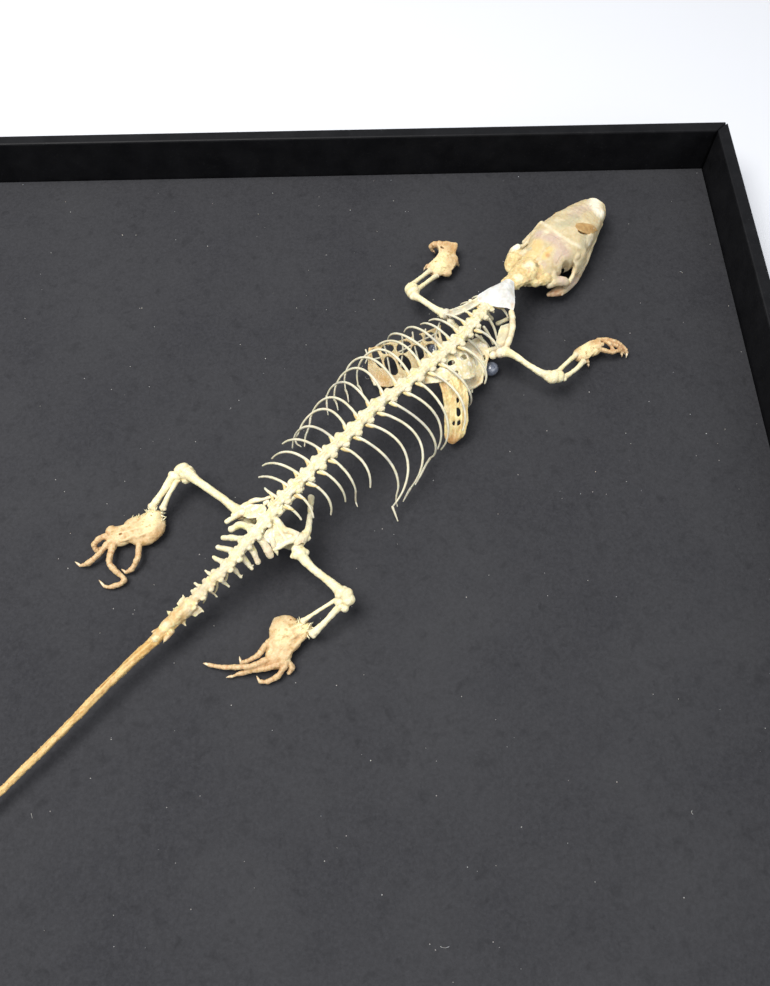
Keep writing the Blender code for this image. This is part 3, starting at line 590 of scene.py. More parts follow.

# Finishes
# In each look the hollows darken to the hollow colour, stain and painted shade, and the ridges lighten to
# the ridge colour, wear and painted highlight.
boneLook = {
    "main": (226, 217, 178), "second": (214, 199, 148), "ridge": (242, 237, 212), "hollow": (158, 132, 92),
    "blotch": 1.3, "grain": 0.16, "rough": (0.45, 0.65), "stain": 0.55, "wear": 0.4, "bump": 0.5,
    "relief": 0.12, "fleck": 0.12, "shine": 0.4, "glow": 0.15, "glowColour": (1.0, 0.55, 0.3),
    "glowDepth": 0.5,
    "marks": (("amber", (184, 142, 76), 0.9), ("rosy", (202, 180, 156), 0.9),
        ("pale", (240, 232, 206), 0.9), ("grey", (164, 162, 150), 0.9), ("dark", (40, 34, 30), 1.0))}
boneFinish = makeFinish("boneFinish")
ribFinish = makeFinish("ribFinish", main=(218, 212, 188), second=(200, 194, 166), blotch=2.6, stain=0.3,
    spot=((184, 180, 164), 0.54, 0.66, 4.0))
spineFinish = makeFinish("spineFinish", main=(214, 205, 180), second=(204, 191, 152), blotch=1.0,
    ridge=(238, 232, 202), hollow=(186, 160, 98), stain=0.7, spot=((204, 196, 140), 0.56, 0.66, 1.2))
# The skull's near-black dark mark paints shade into the braincase.
skullFinish = makeFinish("skullFinish", main=(200, 185, 148), second=(186, 166, 126), blotch=2.4,
    ridge=(228, 216, 186), hollow=(142, 112, 76), glow=0.25, stain=0.5,
    spot=((208, 196, 164), 0.56, 0.76, 2.4), bump=0.4,
    marks=(("amber", (210, 176, 108), 0.9), ("rosy", (184, 161, 147), 0.9), ("pale", (240, 233, 212), 0.95),
        ("grey", (172, 166, 138), 0.9), ("brown", (178, 122, 76), 0.95), ("dark", (16, 15, 15), 1.0)))
skinFinish = makeFinish("skinFinish", main=(206, 184, 142), second=(194, 163, 118), blotch=1.1,
    ridge=(228, 210, 168), hollow=(142, 100, 62), rough=(0.45, 0.62), glow=0.2, stain=0.45,
    marks=(("amber", (174, 130, 76), 0.9), ("rosy", (190, 160, 122), 0.9), ("pale", (232, 222, 168), 0.9),
        ("grey", (160, 150, 130), 0.9), ("dark", (50, 38, 28), 1.0), ("toe", (174, 133, 92), 0.85)),
    spot=((178, 146, 94), 0.57, 0.68, 0.8))
tailFinish = makeFinish("tailFinish", main=(200, 168, 110), second=(172, 134, 80), blotch=1.5,
    ridge=(220, 192, 132), hollow=(104, 68, 30), rough=(0.4, 0.58), stain=0.7,
    marks=(("pale", (222, 200, 138), 0.9), ("amber", (176, 132, 64), 0.9), ("white", (250, 246, 230), 0.9)),
    stretch=(45.0, (2.4, 1.0, 1.0)), spot=((158, 112, 56), 0.57, 0.68, 1.0))
amberFinish = makeFinish("amberFinish", main=(222, 204, 152), second=(204, 178, 122), blotch=1.4,
    ridge=(230, 210, 164), hollow=(116, 82, 46), rough=(0.3, 0.5), glow=0.3, shine=0.6)
fibreFinish = makeFinish("fibreFinish", main=(220, 204, 146), second=(196, 166, 104), blotch=0.9,
    ridge=(232, 216, 172), hollow=(126, 90, 50), rough=(0.3, 0.48), glow=0.3,
    stretch=(82.0, (4.5, 0.75, 1.5)), shine=0.6, bump=0.7,
    marks=(("amber", (196, 134, 74), 0.9), ("rosy", (190, 152, 124), 0.9), ("pale", (228, 216, 176), 0.9),
        ("grey", (170, 164, 140), 0.9), ("dark", (50, 38, 28), 1.0)))
netFinish = makeFinish("netFinish", main=(196, 180, 134), second=(172, 146, 98), blotch=0.9,
    ridge=(208, 190, 148), hollow=(112, 84, 54), rough=(0.32, 0.5), glow=0.3,
    stretch=(115.0, (3.0, 0.8, 1.5)), shine=0.5, bump=0.6)
napeFinish = makeFinish("napeFinish", main=(210, 193, 142), second=(198, 172, 116), blotch=1.5,
    ridge=(232, 218, 174), hollow=(138, 98, 54), rough=(0.38, 0.54), glow=0.3,
    spot=((204, 168, 126), 0.56, 0.7, 1.0))
whiteFinish = makeFinish("whiteFinish", main=(208, 207, 204), second=(190, 188, 180), blotch=1.8,
    ridge=(252, 251, 247), hollow=(196, 184, 162), stain=0.4, bump=0.25, fleck=0.05)
panelFinish = makeFinish("panelFinish", main=(226, 217, 182), second=(212, 196, 148), blotch=0.9,
    ridge=(236, 228, 202), hollow=(142, 118, 84), stain=0.7, glow=0.25,
    spot=((232, 226, 212), 0.54, 0.64, 1.3))
greyFinish = makeFinish("greyFinish", main=(198, 192, 170), second=(178, 172, 150), blotch=0.8,
    ridge=(214, 210, 192), hollow=(112, 104, 88), rough=(0.3, 0.5), shine=0.5)
clawFinish = makeFinish("clawFinish", main=(222, 204, 172), second=(202, 170, 130), blotch=0.5,
    rough=(0.25, 0.4), shine=0.6, bump=0.2)
toothFinish = makeFinish("toothFinish", main=(236, 230, 210), second=(222, 210, 176), blotch=0.4,
    rough=(0.25, 0.4), bump=0.15)
eyeFinish = makeFinish("eyeFinish", main=(176, 142, 90), second=(158, 120, 70), blotch=1.0,
    ridge=(192, 162, 110), hollow=(108, 78, 46), rough=(0.32, 0.48), shine=0.5, bump=0.4)
speckFinish = makeFinish("speckFinish", main=(170, 168, 164), second=(130, 128, 126), blotch=0.6)


paper = {"low": (41, 41, 44), "high": (50, 50, 52), "grain": (63, 63, 66), "weave": (28, 28, 30),
    "cloudSize": 26.0, "grainSize": 0.55, "weaveSize": 2.2}
lacquer = {"low": (12, 12, 14), "high": (21, 21, 23), "dust": (64, 64, 66), "dustSize": 5.0,
    "fineSize": 0.4}
beadGlass = {"dark": (96, 104, 122), "light": (150, 154, 164), "streakSize": 0.9}


def boardFinish():
    finish, tree, place = newFinish("charcoalPaper")
    cloud = noiseAt(tree, place, paper["cloudSize"], 4.0, 0.6)
    grainNoise = noiseAt(tree, place, paper["grainSize"], 3.0, 0.7)
    weave = noiseAt(tree, place, paper["weaveSize"], 3.0, 0.6, 0.4)
    colour = mixTones(tree, spanned(tree, cloud, 0.3, 0.7), tone(*paper["low"]), tone(*paper["high"]))
    colour = mixTones(tree, spanned(tree, grainNoise, 0.3, 0.72, 0.0, 0.55), colour, tone(*paper["grain"]))
    colour = mixTones(tree, spanned(tree, weave, 0.55, 0.75, 0.0, 0.35), colour, tone(*paper["weave"]))
    height = calc(tree, "ADD", grainNoise, calc(tree, "MULTIPLY", weave, 0.6))
    rough = spanned(tree, grainNoise, 0.3, 0.7, 0.82, 0.95)
    closeFinish(tree, height, 0.7, 0.12,
        {"Base Color": colour, "Roughness": rough, "Specular IOR Level": 0.1})
    return finish


# Black satin lacquer with faint brush marks and dust.
def railFinish():
    finish, tree, place = newFinish("blackLacquer")
    dust = noiseAt(tree, place, lacquer["dustSize"], 4.0, 0.65)
    fine = noiseAt(tree, place, lacquer["fineSize"], 3.0, 0.6)
    colour = mixTones(tree, spanned(tree, dust, 0.35, 0.75), tone(*lacquer["low"]), tone(*lacquer["high"]))
    colour = mixTones(tree, spanned(tree, fine, 0.62, 0.75, 0.0, 0.3), colour, tone(*lacquer["dust"]))
    rough = spanned(tree, dust, 0.3, 0.7, 0.45, 0.6)
    closeFinish(tree, calc(tree, "ADD", fine, dust), 0.25, 0.05,
        {"Base Color": colour, "Roughness": rough, "Specular IOR Level": 0.15})
    return finish


# Smoky blue-grey glass with streaks inside.
def glassFinish():
    finish, tree, place = newFinish("smokyGlass")
    streak = noiseAt(tree, place, beadGlass["streakSize"], 3.0, 0.5, 1.2)
    colour = mixTones(tree, spanned(tree, streak, 0.35, 0.65), tone(*beadGlass["dark"]),
        tone(*beadGlass["light"]))
    rough = spanned(tree, streak, 0.3, 0.7, 0.06, 0.16)
    closeFinish(tree, streak, 0.1, 0.05,
        {"Base Color": colour, "Roughness": rough, "Specular IOR Level": 0.6, "Coat Weight": 0.5,
            "Coat Roughness": 0.08, "Transmission Weight": 0.15})
    return finish


# The tray frame, its board and what lies on it
tray = {
    "half": 101.5, "specks": 0.01, "speckSize": (0.05, 0.13), "hairs": 12, "hairReach": 95,
    "hairLength": (0.5, 1.4), "hairRadius": 0.035, "seed": 5, "jointReach": 145.3,
    "jointSize": (2.8, 0.4, 12.8), "jointFoot": 0.35}
rail = railFinish()
charcoal = boardFinish()
for name in ("rail_right", "rail_far", "rail_left", "rail_near"):
    for slot in nodes[name].material_slots:
        slot.material = rail
for slot in nodes["backing_board"].material_slots:
    slot.material = charcoal


def dressBoard():
    work = bmesh.new()
    bmesh.ops.create_grid(work, x_segments=2, y_segments=2, size=(tray["half"] - 1.0) * millimetre,
        matrix=Matrix.Translation((0, 0, boardTop * millimetre)))
    specks = growthMesh(meshOf("ground", work), grain, speckFinish, tray["specks"], *tray["speckSize"],
        lean=1.5, seed=tray["seed"])
    finishPiece("boardSpecks", specks, speckFinish)
    dice = random.Random(tray["seed"])
    reach = tray["hairReach"]
    hairs = []
    for _ in range(tray["hairs"]):
        x, y = dice.uniform(-reach, reach), dice.uniform(-reach, reach)
        angle, bend = dice.uniform(0, 6.28), dice.uniform(-0.9, 0.9)
        length = dice.uniform(*tray["hairLength"])
        rows = []
        for step in range(4):
            rows.append((x, y, 0.05 + 0.04 * (step % 2), tray["hairRadius"]))
            x += math.cos(angle) * length / 3
            y += math.sin(angle) * length / 3
            angle += bend
        hairs.append(rows)
    rodPiece("boardFibres", hairs, speckFinish, "bone", sides=5, parts=4, bumpHeight=0.0)


# Black glue that closes the mitres at the four corners.
def fillCorners():
    work = bmesh.new()
    for corner in range(4):
        turn = Matrix.Rotation(math.radians(45 + 90 * corner), 4, "Z")
        height = tray["jointFoot"] + tray["jointSize"][2] / 2 - boardTop
        bmesh.ops.create_cube(work, size=1.0,
            matrix=turn @ Matrix.Translation((tray["jointReach"], 0, height))
                @ Matrix.Diagonal((*tray["jointSize"], 1.0)))
    bmesh.ops.recalc_face_normals(work, faces=work.faces)
    mesh = meshOf("cornerGlue", work)
    mesh.transform(toMetres)
    glue = finishPiece("cornerGlue", mesh, rail)
    glue.data.polygons.foreach_set("use_smooth", [False] * len(mesh.polygons))


dressBoard()
fillCorners()

beads = {"radius": 1.5,
    "places": {"bead_chest_right": (48.6, 46.2), "bead_chest_left": (37.6, 50.9), "bead_hips": (5.7, 9.6)},
    "centre": 1.6, "squeeze": (1.0, 0.97, 0.93)}
glass = glassFinish()
for name, (x, y) in beads["places"].items():
    work = bmesh.new()
    size = [beads["radius"] * share for share in beads["squeeze"]]
    addBlob(work, (x, y, beads["centre"]), size, heading=20.0, segments=28)
    bmesh.ops.recalc_face_normals(work, faces=work.faces)
    mesh = meshOf(name, work)
    roughen(mesh, ((0.05, 1.1),), 4)
    mesh.transform(toMetres)
    finishPiece(name + "_glass", mesh, glass, (name,))
print("board and beads dressed")


# The stage
view = {"place": (26.87, -51.31, 148.67), "pitch": 64.0, "slope": -0.02, "lens": 31.364, "sensor": 36.0,
    "nearest": 0.001}
pitch = math.radians(view["pitch"])
roll = math.atan(view["slope"])
right = Vector((1, 0, 0))
ahead = Vector((0, math.cos(pitch), -math.sin(pitch)))
up = Vector((0, math.sin(pitch), math.cos(pitch)))
right, up = right * math.cos(roll) + up * math.sin(roll), up * math.cos(roll) - right * math.sin(roll)
cameraData = bpy.data.cameras.new("camera")
cameraData.sensor_width = view["sensor"]
cameraData.lens = view["lens"]
cameraData.clip_start = view["nearest"]
camera = newObject("camera", cameraData)
facing = Matrix((right, up, -ahead)).transposed().to_4x4()
camera.matrix_world = Matrix.Translation(Vector(view["place"]) * millimetre) @ facing
scene.camera = camera

studio = {"aim": (0.02, 0.01, 0.0), "sky": (0.82, 0.86, 0.92, 1.0), "skyStrength": 0.5, "floorHalf": 3,
    "floorDrop": 0.0005, "floorColour": (0.62, 0.63, 0.66, 1.0), "floorRough": 0.7}
lamps = {
    "key": {"place": (-0.14, 0.02, 0.46), "size": 0.34, "power": 3.55, "colour": (1.0, 0.985, 0.96)},
    "fill": {"place": (0.42, -0.30, 0.45), "size": 0.7, "power": 1.6, "colour": (0.95, 0.97, 1.0)}}
for name, lamp in lamps.items():
    data = bpy.data.lights.new(name, "AREA")
    data.shape = "DISK"
    data.size = lamp["size"]
    data.energy = lamp["power"]
    data.color = lamp["colour"]
    light = newObject(name, data)
    light.location = lamp["place"]
    aim = Vector(studio["aim"]) - Vector(lamp["place"])
    light.rotation_euler = aim.to_track_quat("-Z", "Y").to_euler()

world = bpy.data.worlds.new("studio")
world.use_nodes = True
sky = world.node_tree.nodes["Background"].inputs
sky["Color"].default_value = studio["sky"]
sky["Strength"].default_value = studio["skyStrength"]
scene.world = world
scene.view_settings.view_transform = "Standard"

floorMesh = bpy.data.meshes.new("floor")
half, drop = studio["floorHalf"], -studio["floorDrop"]
corners = [(-half, -half, drop), (half, -half, drop), (half, half, drop), (-half, half, drop)]
floorMesh.from_pydata(corners, [], [(0, 1, 2, 3)])
floor = newObject("floor", floorMesh)
paleFloor = bpy.data.materials.new("paleFloor")
paleFloor.use_nodes = True
floorShader = paleFloor.node_tree.nodes["Principled BSDF"].inputs
floorShader["Base Color"].default_value = studio["floorColour"]
floorShader["Roughness"].default_value = studio["floorRough"]
floorMesh.materials.append(paleFloor)
print("stage set")

# The skull, in its own axes: forward from its rear, to its left side, and height over the board
skull = {
    "rear": (56.9, 64.7), "heading": 51.2, "power": 0.75, "middle": 0.36, "sides": 44,
    "stations": ((0.2, 1.8, 7.6, 4.9), (1.6, 3.1, 8.6, 4.4), (4.4, 4.3, 9.4, 4.0), (8.0, 5.1, 9.9, 3.7),
        (11.4, 5.9, 9.8, 3.5), (13.4, 5.9, 9.6, 3.5), (16.0, 5.5, 9.1, 3.5), (19.5, 4.8, 8.3, 3.5),
        (23.0, 4.0, 7.3, 3.5), (26.2, 3.1, 6.3, 3.5), (28.0, 2.0, 5.6, 3.5), (28.9, 0.9, 5.0, 3.7)),
    "clay": {"voxel": 0.13, "soften": 7, "lumps": ((0.16, 2.4), (0.07, 0.9), (0.03, 0.4)), "seed": 2,
        "hollowDepth": 0.09},
    "orbit": (((15.0, 1.4), 0.55), ((16.2, 2.0), 1.05), ((17.4, 2.6), 1.2), ((18.6, 3.2), 1.05),
        ((19.7, 3.8), 0.5)),
    "jaw": ((2.6, 5.0, 3.0, 0.7), (4.6, 6.1, 2.8, 0.95), (9.0, 6.4, 2.3, 1.0), (16.0, 4.9, 1.8, 1.05),
        (22.0, 3.1, 1.5, 0.9), (26.6, 1.15, 1.5, 0.75)),
    "teeth": 22, "tooth": (0.2, 0.75),
    "toothLine": ((13.5, 5.2, 3.5), (18.0, 4.2, 3.4), (23.0, 3.1, 3.4), (26.6, 1.9, 3.4), (28.0, 0.5, 3.4)),
    "hollows": (((17.2, 5.3, 6.3), (2.4, 0.8, 1.1), -12), ((13.9, 5.9, 6.2), (1.8, 0.8, 0.9), -10),
        ((6.8, 5.0, 6.6), (1.1, 0.6, 4.5), 18), ((27.2, 2.1, 5.5), (0.6, 0.5, 0.4), 0),
        (("roof", 17.2, -3.3, 0.45), (2.75, 1.85, 1.1), -27), ((13.9, -5.9, 6.2), (1.8, 0.8, 0.9), 10),
        ((6.8, -5.0, 6.6), (1.35, 0.95, 4.5), -18), ((27.2, -2.1, 5.5), (0.6, 0.5, 0.4), 0),
        ((13.0, 0.0, 3.2), (10.5, 3.6, 1.5), 0), ((8.4, -1.6, 5.0), (4.2, 2.9, 1.9), 0),
        ((-0.3, 0.0, 5.6), (1.6, 1.0, 0.9), 0)),
    "cheekKnob": ((10.4, 5.0, 7.2), (1.6, 1.0, 1.2)),
    "endKnobs": (((0.6, 0.0, 5.6), (1.3, 1.7, 1.2)), ((27.4, 0.0, 4.9), (1.3, 2.2, 0.95))),
    "cheekBar": ((23.6, 3.6, 4.6, 0.45), (19.5, 4.6, 4.7, 0.45), (16.0, 5.5, 4.6, 0.5),
        (12.6, 6.5, 4.5, 0.6), (9.6, 6.8, 4.2, 0.5)),
    "templeBars": (((13.2, 5.3, 7.9, 0.55), (11.2, 5.4, 7.5, 0.65), (9.2, 5.2, 7.2, 0.6),
            (7.2, 5.3, 6.8, 0.4), (5.6, 5.8, 6.6, 0.6)),
        ((12.9, -5.2, 7.2, 0.6), (10.8, -5.7, 6.5, 0.7), (9.0, -6.0, 5.9, 0.6), (7.6, -6.5, 5.0, 0.45),
            (5.6, -6.7, 4.4, 0.45))),
    "templePlate": (((13.0, -4.6, 8.1), (12.9, -5.6, 7.2), (12.6, -6.3, 5.4)),
        ((10.9, -4.8, 7.9), (10.8, -5.9, 7.1), (10.6, -6.7, 5.2)),
        ((9.0, -4.9, 7.4), (8.6, -5.9, 6.5), (8.2, -6.7, 4.8))),
    "rearRods": (((4.4, -3.0, 7.8, 0.75), (3.6, -3.8, 6.9, 0.8), (3.4, -4.6, 6.0, 0.9)),
        ((1.8, -4.1, 5.9, 0.85), (3.4, -4.8, 5.9, 1.05), (4.9, -6.1, 5.3, 0.9), (4.9, -6.4, 4.2, 0.6)),
        ((4.6, 3.4, 8.0, 0.8), (3.6, 4.6, 7.0, 0.85)),
        ((5.0, 5.9, 7.4, 0.75), (3.9, 6.0, 6.9, 1.0), (2.4, 5.3, 6.0, 1.05), (0.9, 3.4, 5.5, 0.95)),
        ((3.9, 6.0, 6.0, 0.85), (3.6, 6.0, 3.7, 0.8))),
    "rearKnobs": ((2.4, 1.6, 0.9), (1.4, -1.6, 0.8), (3.4, -0.6, 0.7), (0.4, 0.8, 0.8), (0.9, 2.6, 0.7)),
    "raisedSeam": ((12.3, 4.6, 0.26), (11.7, 3.4, 0.25), (11.1, 1.2, 0.22), (10.8, -0.9, 0.22),
        (11.0, -2.9, 0.25), (11.7, -4.2, 0.26)),
    "grooves": ((0.14, 0.05,
            (((28.0, 0.0), (25.0, 0.05), (21.0, -0.1), (17.0, 0.1), (12.4, 0.0)),
                ((20.8, 3.0), (20.2, 1.2), (20.6, 0.0), (20.0, -1.4), (20.8, -3.0)),
                ((26.6, 1.7), (24.6, 1.5), (22.6, 2.3), (20.8, 3.0)),
                ((26.6, -1.7), (24.6, -1.5), (22.6, -2.3), (20.8, -3.0)))),
        (0.16, 0.07,
            (((10.2, 5.4), (9.8, 2.6), (10.1, 0.4), (9.7, -2.2), (10.2, -5.4)),
                ((10.0, 0.2), (7.6, 0.0), (5.2, 0.4)), ((8.8, 3.8), (6.8, 3.2), (5.0, 3.4)),
                ((8.8, -3.8), (6.8, -3.2), (5.0, -3.4))))),
    "stains": {
        "rosy": ((((23.0, 0.6), (21.0, 1.4), (18.8, 1.0)), 1.9, 0.75),
            (((9.2, 3.4), (9.4, 1.2), (9.2, -1.2), (8.4, -3.2)), 1.9, 1.0),
            (((7.2, -2.4), (5.6, -3.0)), 1.2, 0.8), (((4.4, -5.6, 6.4),), 1.8, 0.9),
            (((3.0, -1.4),), 1.0, 0.8)),
        "amber": ((((6.6, 2.6), (5.0, 1.6), (3.4, 2.2)), 1.7, 0.7), (((6.6, -0.4), (4.6, -0.6)), 0.9, 1.0),
            (((1.4, -0.6),), 2.4, 0.8), (((-0.6, 0.6, 6.4),), 2.6, 0.9), (((3.6, 4.2),), 1.6, 0.5)),
        "grey": ((((18.4, 0.4), (15.6, 0.4), (13.6, 1.6)), 1.7, 0.75),
            (((15.4, -4.4), (13.2, -4.9)), 1.5, 0.9), (((4.8, 3.2),), 0.8, 0.9),
            (((10.0, -6.6, 6.4),), 1.8, 0.7)),
        "pale": ((((27.6, 0.8), (25.4, -0.4), (24.2, -2.2)), 2.0, 0.9),
            (((12.8, 5.0), (11.8, 3.4), (11.2, 1.2), (10.9, -0.9), (11.1, -2.9), (11.8, -4.7)), 0.62, 0.4),
            (((19.6, 4.6), (16.0, 5.2), (13.4, 5.6)), 1.0, 0.8), (((16.6, -5.0), (14.8, -5.4)), 0.8, 0.9),
            (((4.6, 6.2, 8.0),), 1.5, 0.9)),
        "brown": ((((2.6, 6.0, 5.2),), 1.6, 0.8), (((1.2, 4.4, 5.0),), 1.5, 0.6),
            (((5.2, -1.0),), 0.7, 0.7), (((5.2, -6.6, 4.6),), 0.9, 0.7)),
        # The dark spots paint shade inside the braincase, seen through the hole at its right rear.
        "dark": ((((7.0, -3.6, 4.6),), 2.5, 1.0), (((9.2, -2.0, 4.4),), 3.0, 1.0))},
    "jawRods": (((8.8, 6.3, 2.6, 0.7), (7.6, 6.5, 3.3, 0.4)),
        ((5.0, 6.0, 3.0, 0.8), (3.4, 5.2, 3.1, 0.75), (2.0, 4.5, 2.9, 0.45)),
        ((5.2, 6.2, 3.0, 0.7), (3.8, 6.6, 2.8, 0.4))),
    "jawGroove": ((8.4, 7.2, 1.9), (13.0, 6.5, 1.6), (18.0, 5.3, 1.6)),
    "jawStains": {"brown": ((((3.0, 5.2, 3.0),), 2.6, 1.0),),
        "rosy": ((((7.6, 6.8, 2.6),), 3.4, 0.9), (((13.0, 6.4, 2.6),), 2.4, 0.5)),
        "amber": ((((10.0, 7.2, 2.6),), 1.4, 0.6),)},
    "jawClay": {"voxel": 0.12, "soften": 4, "lumps": ((0.06, 1.2), (0.025, 0.4)), "seed": 6},
    "lid": {"steps": (-1.3, -0.6, 0.0, 0.6, 1.3), "sink": -0.12, "thickness": 0.35},
    "lidClay": {"voxel": 0.11, "soften": 4, "lumps": ((0.1, 1.2), (0.04, 0.4)), "seed": 9}}
skullTurn = math.radians(skull["heading"])


def skullPoint(forward, side, height):
    x = skull["rear"][0] + forward * math.cos(skullTurn) - side * math.sin(skullTurn)
    y = skull["rear"][1] + forward * math.sin(skullTurn) + side * math.cos(skullTurn)
    return (x, y, height)


# The place on the skull's roof.
def skullTop(forward, side, lift=0.0):
    half, top, low = (np.interp(forward, [row[0] for row in skull["stations"]],
            [row[k] for row in skull["stations"]]) for k in (1, 2, 3))
    across = min(abs(side) / half, 0.995) ** (1 / skull["power"])
    rise = max(1 - across * across, 0.0) ** (0.5 * skull["power"])
    return skullPoint(forward, side,
        low + (top - low) * (skull["middle"] + (1 - skull["middle"]) * rise) + lift)


# Rows of forward, side, height or lift, radius.
def skullRod(work, rows, lift=None, sides=10):
    if lift is None:
        addRod(work, [(*skullPoint(*row[:3]), row[3]) for row in rows], sides)
    else:
        addRod(work, [(*skullTop(row[0], row[1], lift), row[2]) for row in rows], sides)


# The same rows, or those of the other side.
def mirrored(rows, sign):
    return [(row[0], row[1] * sign, *row[2:]) for row in rows]


# Stains, and the skull's painted shade, through rows of forward and side on the roof, or of forward, side
# and height.
def skullStains(stains, sign=1):
    found = {}
    for mark, lines in stains.items():
        found[mark] = []
        for rows, radius, strength in lines:
            rows = mirrored(rows, sign)
            for row in curveThrough(rows, 4) if len(rows) > 1 else rows:
                place = skullTop(*row) if len(row) == 2 else skullPoint(*row)
                found[mark].append((place, radius, strength))
    return found


def buildSkull():
    work = bmesh.new()
    rings = []
    steps = curveThrough(skull["stations"], 5)
    for forward, half, top, low in steps:
        ring = []
        for step in range(skull["sides"]):
            angle = 2 * math.pi * step / skull["sides"]
            across, rise = math.cos(angle), math.sin(angle)
            wide = half * math.copysign(abs(across) ** skull["power"], across)
            tall = math.copysign(abs(rise) ** skull["power"], rise)
            share = skull["middle"] + ((1 - skull["middle"]) if rise > 0 else skull["middle"]) * tall
            ring.append(work.verts.new(skullPoint(forward, wide, low + (top - low) * share)))
        rings.append(ring)
    joinRings(work, rings)
    cutters = bmesh.new()
    for place, size, turn in skull["hollows"]:
        centre = skullTop(*place[1:]) if place[0] == "roof" else skullPoint(*place)
        addBlob(cutters, centre, size, skull["heading"] + turn)
    work = cutAway(work, cutters)
    for sign in (1, -1):
        skullRod(work, mirrored(skull["cheekBar"], sign))
        place, size = skull["cheekKnob"]
        addBlob(work, skullPoint(*mirrored([place], sign)[0]), size, skull["heading"])
    for bar in skull["templeBars"]:
        skullRod(work, bar)
    plate = [[skullPoint(*place) for place in row] for row in skull["templePlate"]]
    addSheet(work, plate, thickness=0.8, parts=4)
    for rows in skull["rearRods"]:
        skullRod(work, rows)
    for forward, side, size in skull["rearKnobs"]:
        addBlob(work, skullTop(forward, side, -0.35), (size, size * 0.8, 0.55),
            skull["heading"] + 40 * side)
    skullRod(work, skull["raisedSeam"], -0.2)
    for place, size in skull["endKnobs"]:
        addBlob(work, skullPoint(*place), size, skull["heading"])
    grooves = []
    for width, depth, lines in skull["grooves"]:
        grooves.append((width, depth, [[skullTop(*row) for row in line] for line in lines]))
    sculptPiece("skullBones", work, skull["clay"], skullFinish, ("skull",),
        skullStains(skull["stains"]), grooves)


def buildJaws():
    for side, sign in (("left", 1), ("right", -1)):
        work = bmesh.new()
        rows = [(*skullPoint(*row[:3]), row[3] * 0.94) for row in mirrored(skull["jaw"], sign)]
        addRod(work, rows, sides=14, parts=8)
        for rows in skull["jawRods"]:
            skullRod(work, mirrored(rows, sign))
        grooves = ((0.14, 0.16, [[skullPoint(*row) for row in mirrored(skull["jawGroove"], sign)]]),)
        sculptPiece("jaw_" + side + "_bone", work, skull["jawClay"], skullFinish, ("jaw_" + side,),
            skullStains(skull["jawStains"], sign), grooves)


def buildTeeth():
    tooth = smallRodForm("toothForm",
        ((0, 0, 0, 0.5), (0, 0, -0.5, 0.42), (0.05, 0, -0.85, 0.22), (0.1, 0, -1.0, 0.08)), 7)
    rows = []
    wide, long = skull["tooth"]
    for sign in (1, -1):
        line = curveThrough(skull["toothLine"], 24)
        for step in range(skull["teeth"]):
            forward, side, height = line[int(step * (len(line) - 1) / (skull["teeth"] - 1))]
            grow = 1.0 + 0.25 * math.sin(step * 2.1)
            size = (wide * 2 * millimetre, wide * 2 * millimetre, long * grow * millimetre)
            rows.append((skullPoint(forward, side * sign, height + 0.25),
                    (0.0, 0.0, skullTurn + 0.4 * sign), size))
    finishPiece("teeth", copiesMesh(rows, tooth, toothFinish), toothFinish)
    dropObject(tooth)


# Dried lids, sunk a little into each orbit.
def buildEyes():
    for side, sign in (("left", 1), ("right", -1)):
        work = bmesh.new()
        rows = []
        for (forward, across), half in skull["orbit"]:
            row = []
            for step in skull["lid"]["steps"]:
                if sign < 0:
                    row.append(skullTop(forward + 0.5 * half * step,
                            -min(across + 0.7 + 1.5 * half * step, 4.5), skull["lid"]["sink"]))
                else:
                    row.append(skullPoint(forward, 7.15 - 0.145 * forward + 0.12 * abs(step),
                            6.2 - 0.75 * half * step))
            rows.append(row)
        addSheet(work, rows, skull["lid"]["thickness"], parts=3)
        sculptPiece("eye_" + side, work, skull["lidClay"], eyeFinish)


buildSkull()
buildJaws()
buildTeeth()
buildEyes()
print("skull built")

# The backbone: places along it, then one vertebra copied to each by the node tool
spine = {
    "route": ((8.8, 13.2, 11.4), (12.7, 17.3, 11.6), (16.7, 22.0, 11.7), (21.3, 26.7, 11.7),
        (25.5, 31.6, 11.6), (30.6, 36.2, 11.3), (35.3, 40.7, 10.9), (40.8, 46.3, 10.4), (44.4, 50.8, 9.9),
        (47.5, 55.4, 9.2), (50.2, 58.9, 8.6), (52.9, 61.7, 7.8), (55.7, 64.1, 6.8)),
    "pitch": ((0.0, 2.85), (9.0, 3.05), (20.0, 3.25), (30.0, 3.45), (37.0, 3.1), (43.0, 2.65), (54.0, 2.8),
        (60.0, 2.3), (75.0, 2.3)),
    "trunk": 21, "formLength": 3.2, "width": 1.0, "neckWidth": 0.82, "seed": 3, "tiltJitter": 0.05,
    "turnJitter": 0.03, "widthJitter": (0.96, 1.04), "heightJitter": (0.97, 1.05), "archFlat": 0.46,
    "formLobes": (((0.7, 1.08, 0.1), (0.85, 0.58, 0.44), 14), ((-1.3, 0.66, 0.3), (0.55, 0.34, 0.26), -10)),
    "formArms": ((0.7, 0.9, -0.4, 0.42), (0.85, 1.45, -0.45, 0.38)),
    "formRods": (((-1.75, 0, -0.5, 0.84), (-0.6, 0, -0.55, 0.72), (0.7, 0, -0.55, 0.78),
            (1.7, 0, -0.5, 0.86)),
        ((-1.85, 0, 0.2, 0.84), (-0.9, 0, 0.26, 0.86), (0.1, 0, 0.28, 1.08), (1.1, 0, 0.2, 1.34),
            (1.8, 0, 0.12, 1.1)), ((-1.7, 0, 0.42, 0.36), (-0.4, 0, 0.56, 0.4), (0.9, 0, 0.46, 0.36))),
    "clay": {"voxel": 0.085, "soften": 6, "lumps": ((0.16, 0.9), (0.05, 0.35)), "seed": 12,
        "hollowDepth": 0.1},
    "wear": ((0.2, 2.0), (0.07, 0.7))}


